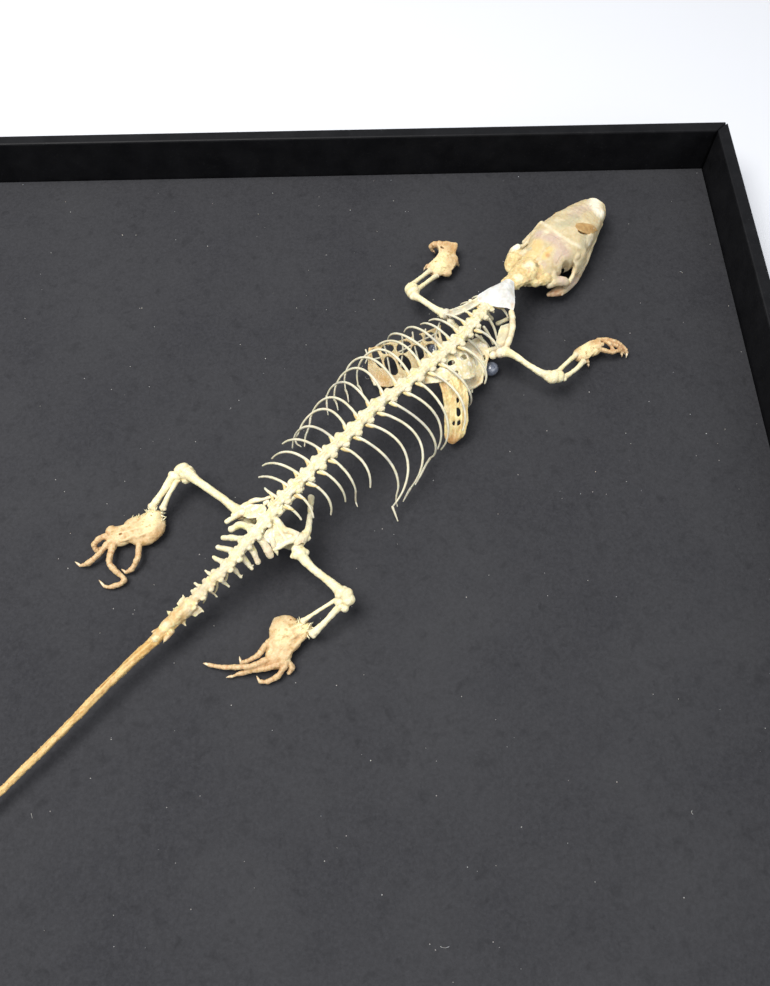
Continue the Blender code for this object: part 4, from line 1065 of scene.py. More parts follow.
# Places and directions along a smooth curve, each a step on.
def walkRoute(points, step, parts=24):
    fine = curveThrough(points, parts)
    places, travelled, due = [], 0.0, 0.0
    for start, end in zip(fine, fine[1:]):
        length = np.linalg.norm(end - start)
        while due <= travelled + length:
            places.append((start + (end - start) * ((due - travelled) / length), (end - start) / length))
            due += step(due)
        travelled += length
    return places


def pitchAt(distance):
    return float(np.interp(distance, [row[0] for row in spine["pitch"]],
            [row[1] for row in spine["pitch"]]))


# Level directions: ahead and to the left.
def crossways(heading):
    flat = np.array((heading[0], heading[1], 0.0))
    flat /= np.linalg.norm(flat)
    return flat, np.array((-flat[1], flat[0], 0.0))


vertebraPlaces = walkRoute(spine["route"], pitchAt)


# Looks along +X, its middle at the origin, in millimetres.
def vertebraForm():
    work = bmesh.new()
    base, arch, ridge = spine["formRods"]
    addRod(work, base, sides=14, parts=4)
    addRod(work, arch, sides=20, parts=4, flat=spine["archFlat"])
    addRod(work, ridge, sides=12, parts=4)
    for sign in (1, -1):
        for place, size, turn in spine["formLobes"]:
            addBlob(work, mirrored([place], sign)[0], size, turn * sign)
        addRod(work, mirrored(spine["formArms"], sign), sides=10, parts=2)
    return hiddenForm("vertebraForm", sculptMesh(work, spine["clay"]))


def buildBackbone():
    form = vertebraForm()
    dice = random.Random(spine["seed"])
    tilt, twist = spine["tiltJitter"], spine["turnJitter"]
    trunk, neck = [], []
    for number, (place, heading) in enumerate(vertebraPlaces):
        after = vertebraPlaces[min(number + 1, len(vertebraPlaces) - 1)][0]
        before = vertebraPlaces[max(number - 1, 0)][0]
        span = np.linalg.norm(after - before) / (2 if 0 < number < len(vertebraPlaces) - 1 else 1)
        turn = (dice.uniform(-tilt, tilt), -math.asin(heading[2]),
            math.atan2(heading[1], heading[0]) + dice.uniform(-twist, twist))
        wide = spine["width"] * (1.0 if number < spine["trunk"] else spine["neckWidth"])
        wide *= dice.uniform(*spine["widthJitter"])
        size = (span / spine["formLength"] * millimetre, wide * millimetre,
            wide * dice.uniform(*spine["heightJitter"]) * millimetre)
        (trunk if number < spine["trunk"] else neck).append((place, turn, size))
    middle = len(trunk) // 2
    for name, rows, replaced in (("trunkVertebrae_rear", trunk[:middle], ()),
            ("trunkVertebrae_front", trunk[middle:], ()), ("neckVertebrae", neck, ("neck",))):
        mesh = copiesMesh(rows, form, spineFinish)
        mesh.transform(toMetres.inverted())
        roughen(mesh, spine["wear"], 14)
        mesh.transform(toMetres)
        finishPiece(name, mesh, spineFinish, replaced)
    dropObject(form)


# Ribs by number from the hips: reach to the side, drop, sweep back, bow ahead and last angle
ribs = {
    "radius": (0.31, 0.26, 0.235, 0.16), "radiusAt": (0, 0.12, 0.6, 1), "stout": (0, 20),
    "stoutShare": 1.1, "root": 1.0, "below": 0.35, "lowest": 1.0, "knots": 9,
    "left": {
        0: (5.2, 3.1, -1.0, -0.3, 57), 1: (9.0, 6.5, 3.6, -0.2, 53), 2: (10.5, 8.1, 3.0, 0.0, 63),
        3: (10.4, 8.9, 3.3, 0.5, 68), 4: (10.4, 7.2, 3.7, 0.2, 67), 5: (10.5, 8.4, 2.6, 0.3, 102),
        6: (10.9, 6.6, 2.8, 1.9, 101), 7: (11.6, 7.2, 1.6, 1.9, 96), 8: (12.2, 7.4, 0.6, 1.8, 92),
        9: (12.9, 9.4, 1.5, 2.0, 115), 10: (13.7, 8.4, 1.5, 1.7, 120), 11: (13.0, 10.0, 1.7, 1.9, 122),
        12: (14.0, 9.0, 1.9, 2.1, 96), 13: (13.8, 8.5, -0.9, 0.6, 98), 14: (11.9, 6.4, -0.9, 1.0, 84),
        15: (10.7, 7.0, -1.4, 1.0, 66), 16: (9.6, 6.3, -1.0, 0.8, 68), 17: (8.5, 5.5, -0.5, 0.5, 70),
        18: (7.3, 5.0, -0.2, 0.4, 68), 19: (6.1, 4.5, 0.2, 0.3, 64), 20: (5.0, 4.0, 0.5, 0.2, 60)},
    "right": {
        0: (5.0, 3.3, 0.0, 0.3, 59), 1: (7.0, 5.8, 3.4, 0.5, 50), 2: (6.5, 4.8, 0.7, 0.6, 90),
        3: (6.9, 5.2, 0.5, 0.4, 84), 4: (7.6, 5.2, 1.1, 0.2, 74), 5: (9.0, 6.7, 2.4, 1.2, 70),
        6: (12.0, 7.7, 1.3, 1.3, 88), 7: (12.6, 7.1, 5.4, 2.1, 101), 8: (13.0, 7.6, 3.4, 2.6, 97),
        9: (11.7, 6.7, -1.3, 1.5, 110), 10: (10.9, 8.2, 0.9, 1.8, 88), 11: (11.2, 7.4, 2.8, 0.6, 101),
        12: (12.6, 6.0, 4.2, 1.4, 78), 13: (8.9, 5.7, -0.4, 0.5, 108), 15: (8.3, 4.8, 0.8, 0.8, 90),
        17: (7.0, 4.0, 0.6, 0.4, 80), 20: (4.6, 3.6, 0.5, 0.2, 60)}}


def ribRoute(side, number):
    place, heading = vertebraPlaces[number]
    reach, drop, sweep, bow, lastAngle = ribs[side][number]
    headward, leftward = crossways(heading)
    outward = leftward * (1 if side == "left" else -1)
    place = place - np.array((0, 0, ribs["below"]))
    drop = min(drop, (place[2] - ribs["lowest"]) / (1 - math.cos(math.radians(lastAngle))))
    rows = []
    for knot in range(ribs["knots"]):
        angle = math.radians(lastAngle) * (knot / (ribs["knots"] - 1))
        row = place + outward * (ribs["root"] + (reach - ribs["root"]) * math.sin(angle))
        row = row + headward * (bow * math.sin(2 * angle) - sweep * (1 - math.cos(angle)))
        row[2] = place[2] - drop * (1 - math.cos(angle))
        rows.append(row)
    return rows


def buildRibs():
    for side in ("left", "right"):
        routes = []
        for number in ribs[side]:
            rows = ribRoute(side, number)
            radii = np.interp(np.linspace(0, 1, len(rows)), ribs["radiusAt"], ribs["radius"])
            if number in ribs["stout"]:
                radii = radii * ribs["stoutShare"]
            routes.append([(*row, radius) for row, radius in zip(rows, radii)])
        rodPiece("ribs_" + side, routes, ribFinish, "bone", ("trunk_" + side,), sides=12, parts=6,
            bumpHeight=0.1, bumpWidth=0.7)


# Grey gristle tails at rib ends: side, rib, radius, and rows of offset in x and y and of height
gristle = (("left", 7, 0.2, ((-0.3, -1.6, 2.8), (-1.0, -3.4, 2.2), (-1.2, -5.2, 1.6))),
    ("left", 8, 0.2, ((0.0, -1.4, 2.8), (0.2, -3.2, 2.0))),
    ("left", 6, 0.2, ((-0.4, -0.8, 3.6), (-0.2, -1.7, 3.0), (0.6, -2.2, 2.6))),
    ("left", 9, 0.2, ((0.5, -1.3, 1.6), (0.8, -2.6, 1.2))),
    ("left", 10, 0.2, ((0.4, -1.4, 1.4), (0.6, -2.8, 1.0))),
    ("left", 11, 0.2, ((0.5, -1.0, 1.3), (1.0, -2.2, 1.0))),
    ("right", 9, 0.22, ((-0.9, -1.8, 3.0), (-1.9, -3.6, 2.5), (-3.0, -5.5, 2.1))),
    ("right", 8, 0.2, ((-0.7, -1.0, 2.2), (-1.4, -2.2, 1.8))),
    ("right", 7, 0.2, ((0.4, -1.2, 2.8), (0.9, -2.6, 2.4))),
    ("right", 4, 0.16, ((-0.1, -0.9, 5.4), (0.2, -1.8, 5.0))),
    ("right", 6, 0.16, ((-0.1, -0.8, 3.0), (0.1, -1.7, 2.6))))
ribWeb = {"behind": (0.7, 0.25), "out": (1.15, 0.9, 1.7), "below": (-0.2, -0.1), "radii": (0.3, 0.26, 0.2)}
cordShape = {"sides": 8, "parts": 6, "bumpHeight": 0.16, "bumpWidth": 0.5}


# Tails at the ribs' ends and amber webs at their roots.
def buildStrands():
    tails = []
    for side, number, radius, rows in gristle:
        end = ribRoute(side, number)[-1]
        run = [(*end, radius + 0.04)] + [(end[0] + dx, end[1] + dy, z, radius) for dx, dy, z in rows]
        run[-1] = (*run[-1][:3], radius * 0.6)
        tails.append(run)
    rodPiece("ribEnds", tails, greyFinish, "cartilage", **cordShape)
    webs = []
    behind, out, below = ribWeb["behind"], ribWeb["out"], ribWeb["below"]
    for side in ("left", "right"):
        for number in ribs[side]:
            rows = ribRoute(side, number)
            base, heading = vertebraPlaces[number]
            outward = (rows[1] - rows[0]) / np.linalg.norm(rows[1] - rows[0])
            start = base - heading * behind[0] + outward * out[0] + np.array((0, 0, below[0]))
            middle = rows[0] + outward * out[1] - heading * behind[1] + np.array((0, 0, below[1]))
            places = (start, middle, rows[0] + outward * out[2])
            webs.append([(*place, radius) for place, radius in zip(places, ribWeb["radii"])])
    rodPiece("ribWebs", webs, amberFinish, "cartilage", sides=8, parts=4, bumpHeight=0.12, bumpWidth=0.5)


# Dried amber sheets in the chest: rows of places across each sheet, with holes worn through it
sheets = {
    "thickness": 0.4, "edge": 0.25, "cord": 0.19, "ribRadii": (0.3, 0.27, 0.25, 0.2),
    "clay": {"voxel": 0.12, "soften": 5, "lumps": ((0.14, 1.4), (0.05, 0.45)), "seed": 21,
        "hollowDepth": 0.09},
    "lattice": (((23.6, 49.2, 4.6), (24.8, 46.0, 3.2), (25.6, 42.2, 2.4)),
        ((27.2, 50.6, 5.0), (28.0, 47.4, 3.5), (28.6, 42.6, 2.6)),
        ((30.9, 51.8, 5.6), (31.0, 49.2, 4.0), (30.2, 44.4, 2.9)),
        ((33.0, 52.4, 5.8), (33.4, 49.9, 4.3), (34.4, 45.8, 3.5)),
        ((35.6, 52.9, 6.0), (35.4, 50.8, 4.7), (36.4, 47.4, 4.0)),
        ((38.4, 54.0, 6.4), (37.4, 51.4, 5.0), (37.6, 49.0, 4.4)),
        ((24.4, 47.4, 3.7), (29.4, 48.6, 4.0), (33.4, 50.4, 4.7), (38.0, 52.4, 5.4))),
    "frontRibs": (((40.8, 44.9, 9.2), (43.0, 43.8, 7.0), (44.1, 42.2, 4.5), (44.3, 39.9, 3.0)),
        ((42.5, 46.8, 8.9), (44.8, 45.9, 6.6), (45.6, 43.9, 4.0), (46.0, 41.8, 2.8)),
        ((43.6, 48.3, 8.7), (45.6, 47.6, 6.6), (46.8, 46.2, 4.6), (47.3, 43.9, 3.2)),
        ((45.2, 49.4, 8.6), (47.0, 49.6, 6.2), (48.2, 49.3, 4.4)),
        ((46.9, 51.4, 8.4), (48.1, 50.9, 6.4), (49.0, 50.1, 4.6)),
        ((48.1, 53.6, 8.0), (49.2, 52.6, 6.4), (49.8, 51.2, 5.0)))}
rightSheet = {
    "rows": (((37.6, 38.5, 8.6), (39.6, 39.3, 8.8), (42.0, 39.2, 8.6)),
        ((38.3, 36.9, 7.6), (40.4, 37.0, 7.8), (42.8, 37.4, 7.6)),
        ((38.6, 34.3, 5.8), (40.6, 34.1, 6.0), (42.8, 34.6, 5.8)),
        ((38.6, 31.7, 4.2), (40.6, 31.5, 4.3), (42.7, 32.1, 4.2)),
        ((38.7, 30.0, 2.8), (40.2, 29.4, 3.0), (42.0, 30.4, 2.8)),
        ((39.4, 29.2, 2.2), (40.0, 29.0, 2.2), (41.1, 29.9, 2.2))),
    "holes": (((40.9, 35.6, 6.8), (0.36, 0.5)), ((41.0, 33.7, 5.6), (0.55, 0.8)),
        ((40.6, 31.9, 4.4), (0.7, 0.5)), ((41.5, 32.1, 4.4), (0.6, 0.42)), ((41.5, 32.3, 4.6), (0.35, 0.3)),
        ((39.6, 37.8, 8.2), (0.2, 0.25))),
    "turn": 0, "finish": fibreFinish,
    "rim": ((40.0, 29.4, 2.4), 2.0)}
leftSheet = {
    "rows": (((24.4, 49.4, 4.9), (27.3, 50.4, 4.9), (30.9, 51.2, 5.0), (34.5, 52.2, 5.5),
            (38.5, 53.7, 6.0)),
        ((24.2, 45.4, 3.4), (27.6, 46.6, 3.7), (31.2, 48.2, 4.2), (34.6, 50.0, 4.7), (38.5, 51.7, 5.0)),
        ((25.2, 42.2, 2.7), (28.7, 41.8, 2.9), (32.3, 43.9, 3.4), (35.7, 46.3, 3.9), (39.5, 48.5, 4.4))),
    "holes": (((25.9, 47.4, 4.2), (0.7, 2.3)), ((27.9, 49.3, 4.4), (1.35, 0.9)),
        ((28.6, 46.0, 3.6), (1.1, 2.3)), ((31.2, 49.7, 4.6), (1.5, 1.2)), ((31.3, 46.4, 3.7), (1.15, 2.0)),
        ((33.9, 51.2, 5.0), (1.2, 0.9)), ((33.9, 48.5, 4.3), (1.2, 1.7)), ((36.4, 51.6, 5.0), (1.2, 0.9)),
        ((36.7, 49.0, 4.4), (1.3, 1.4)), ((38.4, 51.9, 5.2), (0.5, 0.7))),
    "turn": 25, "finish": netFinish,
    "rim": ((26.8, 42.8, 2.8), 2.4)}
frontWeb = {
    "rows": (((33.6, 39.6, 10.2), (34.0, 38.6, 10.0), (34.4, 37.9, 9.7)),
        ((36.0, 41.2, 10.2), (36.2, 39.6, 9.9), (36.5, 38.2, 9.3)),
        ((38.2, 42.6, 9.8), (38.8, 40.6, 9.6), (39.2, 38.9, 8.9)),
        ((40.4, 44.8, 9.4), (41.8, 42.4, 8.6), (43.2, 40.2, 7.4)),
        ((42.0, 46.8, 9.1), (43.6, 44.4, 7.6), (44.8, 42.0, 5.8))),
    "holes": (((37.3, 41.2, 9.8), (0.7, 0.35)), ((40.0, 42.4, 9.3), (0.9, 0.5)),
        ((40.9, 40.6, 9.0), (0.5, 0.3)), ((42.6, 44.4, 8.3), (1.0, 0.5))),
    "turn": 40, "finish": panelFinish,
    "rim": ((34.6, 38.2, 9.6), 1.2)}


def buildSheets():
    for side, look in (("left", leftSheet), ("right", rightSheet), ("web", frontWeb)):
        work = bmesh.new()
        addSheet(work, look["rows"], sheets["thickness"], parts=6)
        cutters = bmesh.new()
        for centre, size in look["holes"]:
            addBlob(cutters, centre, (*size, 1.6), look["turn"], segments=14)
        bmesh.ops.recalc_face_normals(work, faces=work.faces)
        work = cutAway(work, cutters)
        columns = zip(*[curveThrough(row, 4) for row in look["rows"]])
        for number, column in enumerate(columns):
            if side == "right" and number % 2 == 0 and number < 7:
                addRod(work, [(*place[:2], place[2] + 0.16, 0.2) for place in column], sides=8, parts=5)
        edges = [look["rows"][-1], [row[0] for row in look["rows"]], [row[-1] for row in look["rows"]]]
        for edge in edges:
            addRod(work, [(*place, sheets["edge"]) for place in edge], sides=8, parts=5)
        stains = {"amber": (look["rim"] + (0.9,), (look["rows"][0][0], 3.0, 0.4)),
            "pale": ((look["rows"][2][0], 1.6, 0.6), (look["rows"][1][-1], 1.6, 0.4))}
        replaced = () if side == "web" else ("costal_plate_" + side,)
        sculptPiece("costalSheet_" + side, work, sheets["clay"], look["finish"], replaced,
            stains)
    lattice = [[(*place, sheets["cord"]) for place in row] for row in sheets["lattice"]]
    rodPiece("chestLattice", lattice, greyFinish, "cartilage", **cordShape)
    front = [[(*place, radius) for place, radius in zip(row, sheets["ribRadii"])]
            for row in sheets["frontRibs"]]
    rodPiece("frontRibs", front, ribFinish, "bone", sides=12, parts=7, bumpHeight=0.1, bumpWidth=0.7)


buildBackbone()
buildRibs()
buildStrands()
buildSheets()
print("backbone and ribs built")

# The hips: two sacral vertebrae, the hip bones and their webs; each row is x, y, height and radius
hips = {
    "clay": {"voxel": 0.11, "soften": 6, "lumps": ((0.16, 1.2), (0.05, 0.5)), "seed": 31},
    "sacrum": ((7.4, 11.2, 10.9), (5.6, 8.9, 10.6)),
    "sacrumSize": (1.35, 1.55, 1.3),
    "socket": {"left": ((1.4, 12.6, 7.7), (1.35, 1.15, 1.2), 40),
        "right": ((11.8, 7.0, 8.0), (1.5, 1.15, 1.1), 90)},
    "cup": {"left": (-0.9, 0.9, 0.1), "right": (0.5, -1.3, 0.1)},
    "cupSize": (0.75, 0.75, 0.7),
    "sacrumStains": {"amber": (((3.0, 14.2, 8.7), 1.4, 0.7), ((9.6, 8.4, 9.4), 1.4, 0.5)),
        "rosy": (((11.2, 7.8, 8.8), 1.6, 0.7), ((5.6, 14.4, 9.3), 1.2, 0.6))},
    "webClay": {"voxel": 0.11, "soften": 4, "lumps": ((0.16, 1.1), (0.06, 0.4)), "seed": 34,
        "hollowDepth": 0.08},
    "webStains": {"rosy": (((9.2, 7.6, 9.3), 1.2, 0.6), ((3.4, 12.6, 9.0), 1.3, 0.8)),
        "amber": (((2.0, 13.0, 8.6), 1.2, 0.8),), "grey": (((7.0, 7.4, 9.9), 1.4, 0.4),)},
    "left": (((1.8, 12.3, 8.6, 0.7), (0.3, 11.5, 8.4, 0.5), (-1.1, 10.8, 8.0, 0.45)),
        ((1.7, 12.6, 7.0, 0.7), (4.6, 12.2, 5.2, 0.5), (7.2, 13.4, 4.2, 0.42), (9.4, 16.4, 3.8, 0.4),
            (11.6, 19.4, 3.3, 0.4)),
        ((1.7, 12.2, 7.0, 0.8), (3.0, 11.2, 5.0, 0.7), (4.6, 10.6, 3.4, 0.75))),
    "right": (((11.8, 6.6, 7.8, 1.0), (12.4, 7.4, 7.8, 0.85), (12.9, 8.4, 7.3, 0.8), (13.2, 9.6, 6.9, 0.62),
            (13.4, 12.7, 6.0, 0.5), (13.4, 15.1, 5.2, 0.52), (13.3, 17.0, 4.4, 0.62)),
        ((11.4, 6.2, 7.0, 0.8), (9.4, 7.4, 5.0, 0.7), (6.9, 8.6, 3.4, 0.75)),
        ((13.2, 7.5, 7.4, 0.42), (13.5, 7.7, 7.4, 0.36))),
    "sacralBars": (((7.4, 12.4, 10.6, 0.7), (7.2, 14.6, 9.8, 0.42), (5.1, 14.5, 9.1, 0.42),
            (3.6, 14.4, 8.8, 0.5), (2.6, 14.0, 8.5, 0.5), (1.6, 13.4, 8.2, 0.6)),
        ((7.4, 10.4, 10.6, 0.7), (8.6, 9.2, 10.0, 0.6), (9.3, 8.5, 9.5, 0.6), (10.5, 8.1, 8.9, 0.6),
            (11.6, 7.8, 8.6, 0.6)),
        ((7.5, 5.3, 8.4, 0.38), (8.8, 5.7, 8.7, 0.42), (10.3, 6.6, 8.8, 0.5), (11.4, 7.4, 8.8, 0.6)),
        ((7.1, 8.4, 10.1, 0.35), (7.3, 7.0, 9.5, 0.32), (7.5, 5.8, 9.0, 0.3)),
        ((8.3, 8.8, 9.9, 0.35), (9.0, 7.6, 9.3, 0.32), (9.7, 6.8, 8.8, 0.35)),
        ((5.9, 13.2, 10.1, 0.42), (6.3, 13.5, 10.0, 0.4))),
    "webs": ((((8.0, 10.6, 10.2), (8.8, 9.3, 9.8), (9.6, 8.5, 9.3), (11.0, 8.0, 8.8)),
            ((7.0, 9.0, 10.2), (8.0, 8.0, 9.8), (9.6, 7.4, 9.1), (10.9, 7.2, 8.7)),
            ((6.0, 7.6, 10.0), (7.2, 6.8, 9.5), (8.8, 6.4, 8.9), (10.0, 6.4, 8.7)),
            ((5.6, 7.0, 9.8), (6.6, 6.2, 9.2), (7.7, 5.7, 8.8), (8.8, 5.7, 8.6))),
        (((1.4, 13.2, 8.4), (2.9, 13.7, 8.8), (4.4, 13.5, 9.2), (5.8, 13.2, 9.9)),
            ((1.4, 12.4, 8.4), (3.1, 12.3, 9.0), (4.9, 12.0, 9.5), (6.2, 12.0, 10.3)),
            ((1.6, 11.6, 8.3), (3.2, 10.9, 9.0), (5.0, 10.8, 9.7), (5.8, 10.6, 10.2))))}


# A single vertebra, in shares of its length, its half width and, for the ridge, its height
vertebraBody = {
    "base": ((-1, -0.35, 0.66), (0, -0.45, 0.56), (1, -0.35, 0.7)),
    "arch": ((-1, 0.12, 0.52), (0, 0.25, 0.64), (0.9, 0.18, 0.78)),
    "archFlat": 0.6,
    "ridge": ((-0.8, 0.4, 0.27), (0, 0.5, 0.33), (0.7, 0.38, 0.27)),
    "lobes": ((0.55, 0.72, 0.1, (0.6, 0.5, 0.42)), (-0.75, 0.5, 0.2, (0.42, 0.4, 0.3))),
    "lobeTurn": 40}


# A vertebra body: a round base, a flat arch over it, a low ridge on top and lobes at both sides.
def addVertebra(work, place, heading, size):
    place = np.array(place)
    left = crossways(heading)[1]
    length, half, tall = size
    lift = np.array((0, 0, 1.0))

    def at(forward, side, height):
        return tuple(place + np.array(heading) * forward + left * side + lift * height)
    base = [(*at(length * along, 0, up), half * wide) for along, up, wide in vertebraBody["base"]]
    addRod(work, base, sides=14, parts=4)
    arch = [(*at(length * along, 0, up), half * wide) for along, up, wide in vertebraBody["arch"]]
    addRod(work, arch, sides=16, parts=4, flat=vertebraBody["archFlat"])
    ridge = [(*at(length * along, 0, tall * up), radius) for along, up, radius in vertebraBody["ridge"]]
    addRod(work, ridge, sides=10, parts=3)
    for sign in (1, -1):
        for along, aside, up, spread in vertebraBody["lobes"]:
            addBlob(work, at(length * along, half * aside * sign, up), spread, vertebraBody["lobeTurn"])


def buildHips():
    work = bmesh.new()
    first, last = (np.array(place) for place in hips["sacrum"])
    heading = (first - last) / np.linalg.norm(first - last)
    for place in hips["sacrum"]:
        addVertebra(work, place, heading, hips["sacrumSize"])
    for bar in hips["sacralBars"]:
        addRod(work, bar, sides=12, parts=6)
    sculptPiece("sacralBones", work, hips["clay"], boneFinish, ("sacrum",), hips["sacrumStains"])
    for side in ("left", "right"):
        work = bmesh.new()
        socket, size, turn = hips["socket"][side]
        addBlob(work, socket, size, turn)
        for bar in hips[side]:
            addRod(work, bar, sides=12, parts=7)
        cup = bmesh.new()
        addBlob(cup, [at + away for at, away in zip(socket, hips["cup"][side])], hips["cupSize"])
        work = cutAway(work, cup)
        stains = {"rosy": ((socket, 1.9, 0.7),),
            "amber": (((socket[0], socket[1] - 0.9, socket[2] + 0.6), 1.1, 1.0),),
            "grey": (((13.3, 11.6, 6.6), 2.6, 0.5),)}
        sculptPiece("hip_" + side + "_bones", work, hips["clay"], boneFinish, ("hip_" + side,),
            stains)
    work = bmesh.new()
    for web in hips["webs"]:
        addSheet(work, web, thickness=0.35, parts=5)
    sculptPiece("hipWebs", work, hips["webClay"], panelFinish, (), hips["webStains"])


# The tail's base: vertebrae with side bars, then the dried stump and the long rod
tail = {
    "bodies": ((4.0, 7.0, 10.3), (2.4, 5.1, 10.0), (0.8, 3.2, 9.5), (-0.7, 1.6, 9.0), (-2.3, 0.2, 8.4),
        (-3.9, -1.2, 7.7), (-5.4, -2.6, 7.0), (-7.0, -4.1, 6.4), (-8.6, -5.6, 5.9)),
    "bodyHalf": (1.5, 1.25),
    "bars": (((4.2, 8.6, 9.9, 0.75), (1.6, 9.5, 9.3, 0.68), (-0.1, 9.1, 8.5, 0.6)),
        ((2.8, 6.6, 9.6, 0.6), (0.6, 7.3, 9.0, 0.5), (-1.5, 7.7, 8.1, 0.45)),
        ((1.2, 4.6, 9.1, 0.6), (-0.8, 5.5, 8.4, 0.5), (-2.3, 6.1, 7.7, 0.5)),
        ((-0.2, 2.8, 8.6, 0.55), (-1.9, 3.6, 8.0, 0.4), (-3.1, 4.5, 7.3, 0.3)),
        ((-2.0, 0.6, 7.9, 0.55), (-3.4, 1.3, 7.4, 0.36), (-4.4, 2.2, 6.9, 0.24)),
        ((-3.9, -1.2, 7.2, 0.55), (-5.3, -0.6, 6.8, 0.36), (-6.2, 0.1, 6.3, 0.26)),
        ((-5.6, -2.4, 6.7, 0.5), (-6.5, -1.2, 6.3, 0.36)),
        ((-8.0, -2.0, 6.3, 0.22), (-6.6, -4.2, 6.7, 0.3)),
        ((-9.2, -5.4, 5.8, 0.6), (-10.2, -4.9, 5.7, 0.3), (-10.7, -4.5, 5.6, 0.12)),
        ((-8.8, -5.1, 5.9, 0.55), (-9.5, -4.2, 5.8, 0.22)),
        ((-11.0, -7.4, 5.3, 0.7), (-12.3, -7.7, 5.1, 0.32), (-13.0, -8.0, 5.0, 0.14)),
        ((7.2, 6.6, 9.4, 0.5), (7.9, 5.2, 8.2, 0.38), (8.1, 4.5, 7.5, 0.12)),
        ((4.9, 7.4, 9.9, 0.8), (6.2, 5.5, 8.9, 0.72), (6.8, 4.4, 7.9, 0.7)),
        ((3.3, 5.9, 9.5, 0.7), (4.3, 4.3, 8.4, 0.6), (4.7, 3.3, 7.5, 0.58)),
        ((1.9, 4.2, 8.9, 0.6), (3.1, 2.9, 7.7, 0.42), (3.7, 2.3, 7.1, 0.36)),
        ((3.5, 2.4, 7.1, 0.25), (3.9, 2.9, 7.2, 0.14)),
        ((0.1, 2.6, 8.5, 0.55), (1.2, 1.5, 7.3, 0.38), (1.8, 1.0, 6.6, 0.3)),
        ((1.7, 1.0, 6.6, 0.22), (2.1, 1.3, 6.8, 0.12)),
        ((-1.8, 0.7, 7.7, 0.5), (-0.9, -0.1, 6.8, 0.32), (-0.2, -0.6, 6.2, 0.22)),
        ((-3.9, -1.1, 7.1, 0.5), (-2.9, -1.7, 6.3, 0.3), (-2.3, -2.2, 5.6, 0.2)),
        ((-6.2, -3.7, 6.5, 0.45), (-5.2, -4.2, 6.0, 0.28), (-4.4, -4.8, 5.4, 0.14)),
        ((-8.0, -5.8, 5.5, 0.7), (-7.7, -6.6, 5.1, 0.32), (-7.4, -7.0, 4.9, 0.14)),
        ((-9.8, -8.0, 5.4, 0.7), (-10.6, -9.4, 5.2, 0.3), (-10.9, -10.0, 5.1, 0.12))),
    "webs": ((((-6.6, -4.2, 6.6), (-7.4, -3.0, 6.6), (-8.0, -2.1, 6.4)),
            ((-7.8, -4.8, 6.2), (-8.5, -3.9, 6.1), (-8.9, -3.4, 5.9))),
        (((-6.0, -3.6, 6.5), (-5.2, -4.2, 6.0), (-4.5, -4.7, 5.5)),
            ((-7.2, -4.8, 6.1), (-6.4, -5.3, 5.6), (-5.8, -5.6, 5.3)))),
    "chevrons": (((-0.5, 2.0, 7.6, 0.26), (-0.8, 1.4, 5.8, 0.22), (-1.3, 0.9, 4.6, 0.16)),
        ((-2.2, 0.0, 6.9, 0.24), (-2.5, -0.5, 5.4, 0.2), (-3.0, -1.0, 4.4, 0.14)),
        ((-4.0, -1.6, 6.2, 0.22), (-4.4, -2.2, 5.0, 0.18), (-4.9, -2.7, 4.2, 0.13))),
    "stump": ((-6.8, -4.1, 6.2, 1.2), (-8.6, -5.6, 5.9, 1.25), (-10.5, -7.3, 5.4, 1.12),
        (-12.4, -9.2, 5.0, 0.95)),
    "rod": ((-8.8, -6.2, 5.6, 0.95), (-11.2, -8.4, 5.2, 1.02), (-13.9, -10.8, 4.8, 0.98),
        (-20.0, -17.0, 4.3, 0.84), (-26.1, -23.8, 3.8, 0.76), (-34.9, -33.0, 3.2, 0.68),
        (-50.0, -48.8, 2.4, 0.58), (-67.0, -66.2, 1.5, 0.48), (-83.8, -82.8, 0.85, 0.3)),
    "clay": {"voxel": 0.12, "soften": 3, "lumps": ((0.1, 1.3), (0.045, 0.45)), "seed": 41,
        "hollowDepth": 0.08},
    "baseClay": {"voxel": 0.1, "soften": 7, "lumps": ((0.2, 1.4), (0.06, 0.5)), "seed": 41,
        "hollowDepth": 0.08},
    "baseStains": {
        "amber": (((-0.7, 1.6, 9.4), 3.0, 0.25), ((-3.6, -1.2, 8.0), 3.4, 0.4),
            ((-6.4, -3.6, 6.9), 3.0, 0.5), ((-8.6, -5.6, 6.2), 3.2, 0.9), ((-11.0, -7.8, 5.8), 4.6, 1.0)),
        "grey": [((x, x * 0.94 + 3.2, 8.6), 2.2, 0.35) for x in (2.0, -1.4, -4.8)],
        "rosy": (((6.4, 5.0, 8.6), 1.7, 0.8), ((4.5, 3.8, 8.0), 1.3, 0.5), ((0.6, 9.4, 8.9), 1.4, 0.4)),
        "pale": (((-10.6, -7.4, 6.4), 1.2, 0.5),)},
    "rodStains": {
        "pale": (((-9.4, -7.4, 5.8), 4.0, 0.8), ((-13.0, -9.6, 5.6), 1.6, 0.7)),
        "amber": (((-11.0, -8.4, 5.6), 4.2, 1.0), ((-13.6, -11.0, 5.4), 3.0, 0.9),
            ((-24.0, -21.4, 4.4), 3.0, 0.5)),
        "white": (((-40.4, -38.6, 3.4), 0.9, 1.0),)},
    "furrows": {"count": 5, "depth": 0.06, "sway": 1.4, "pace": 0.35, "fade": 60.0}, "warts": 3.0,
    "wartSize": (0.04, 0.11)}


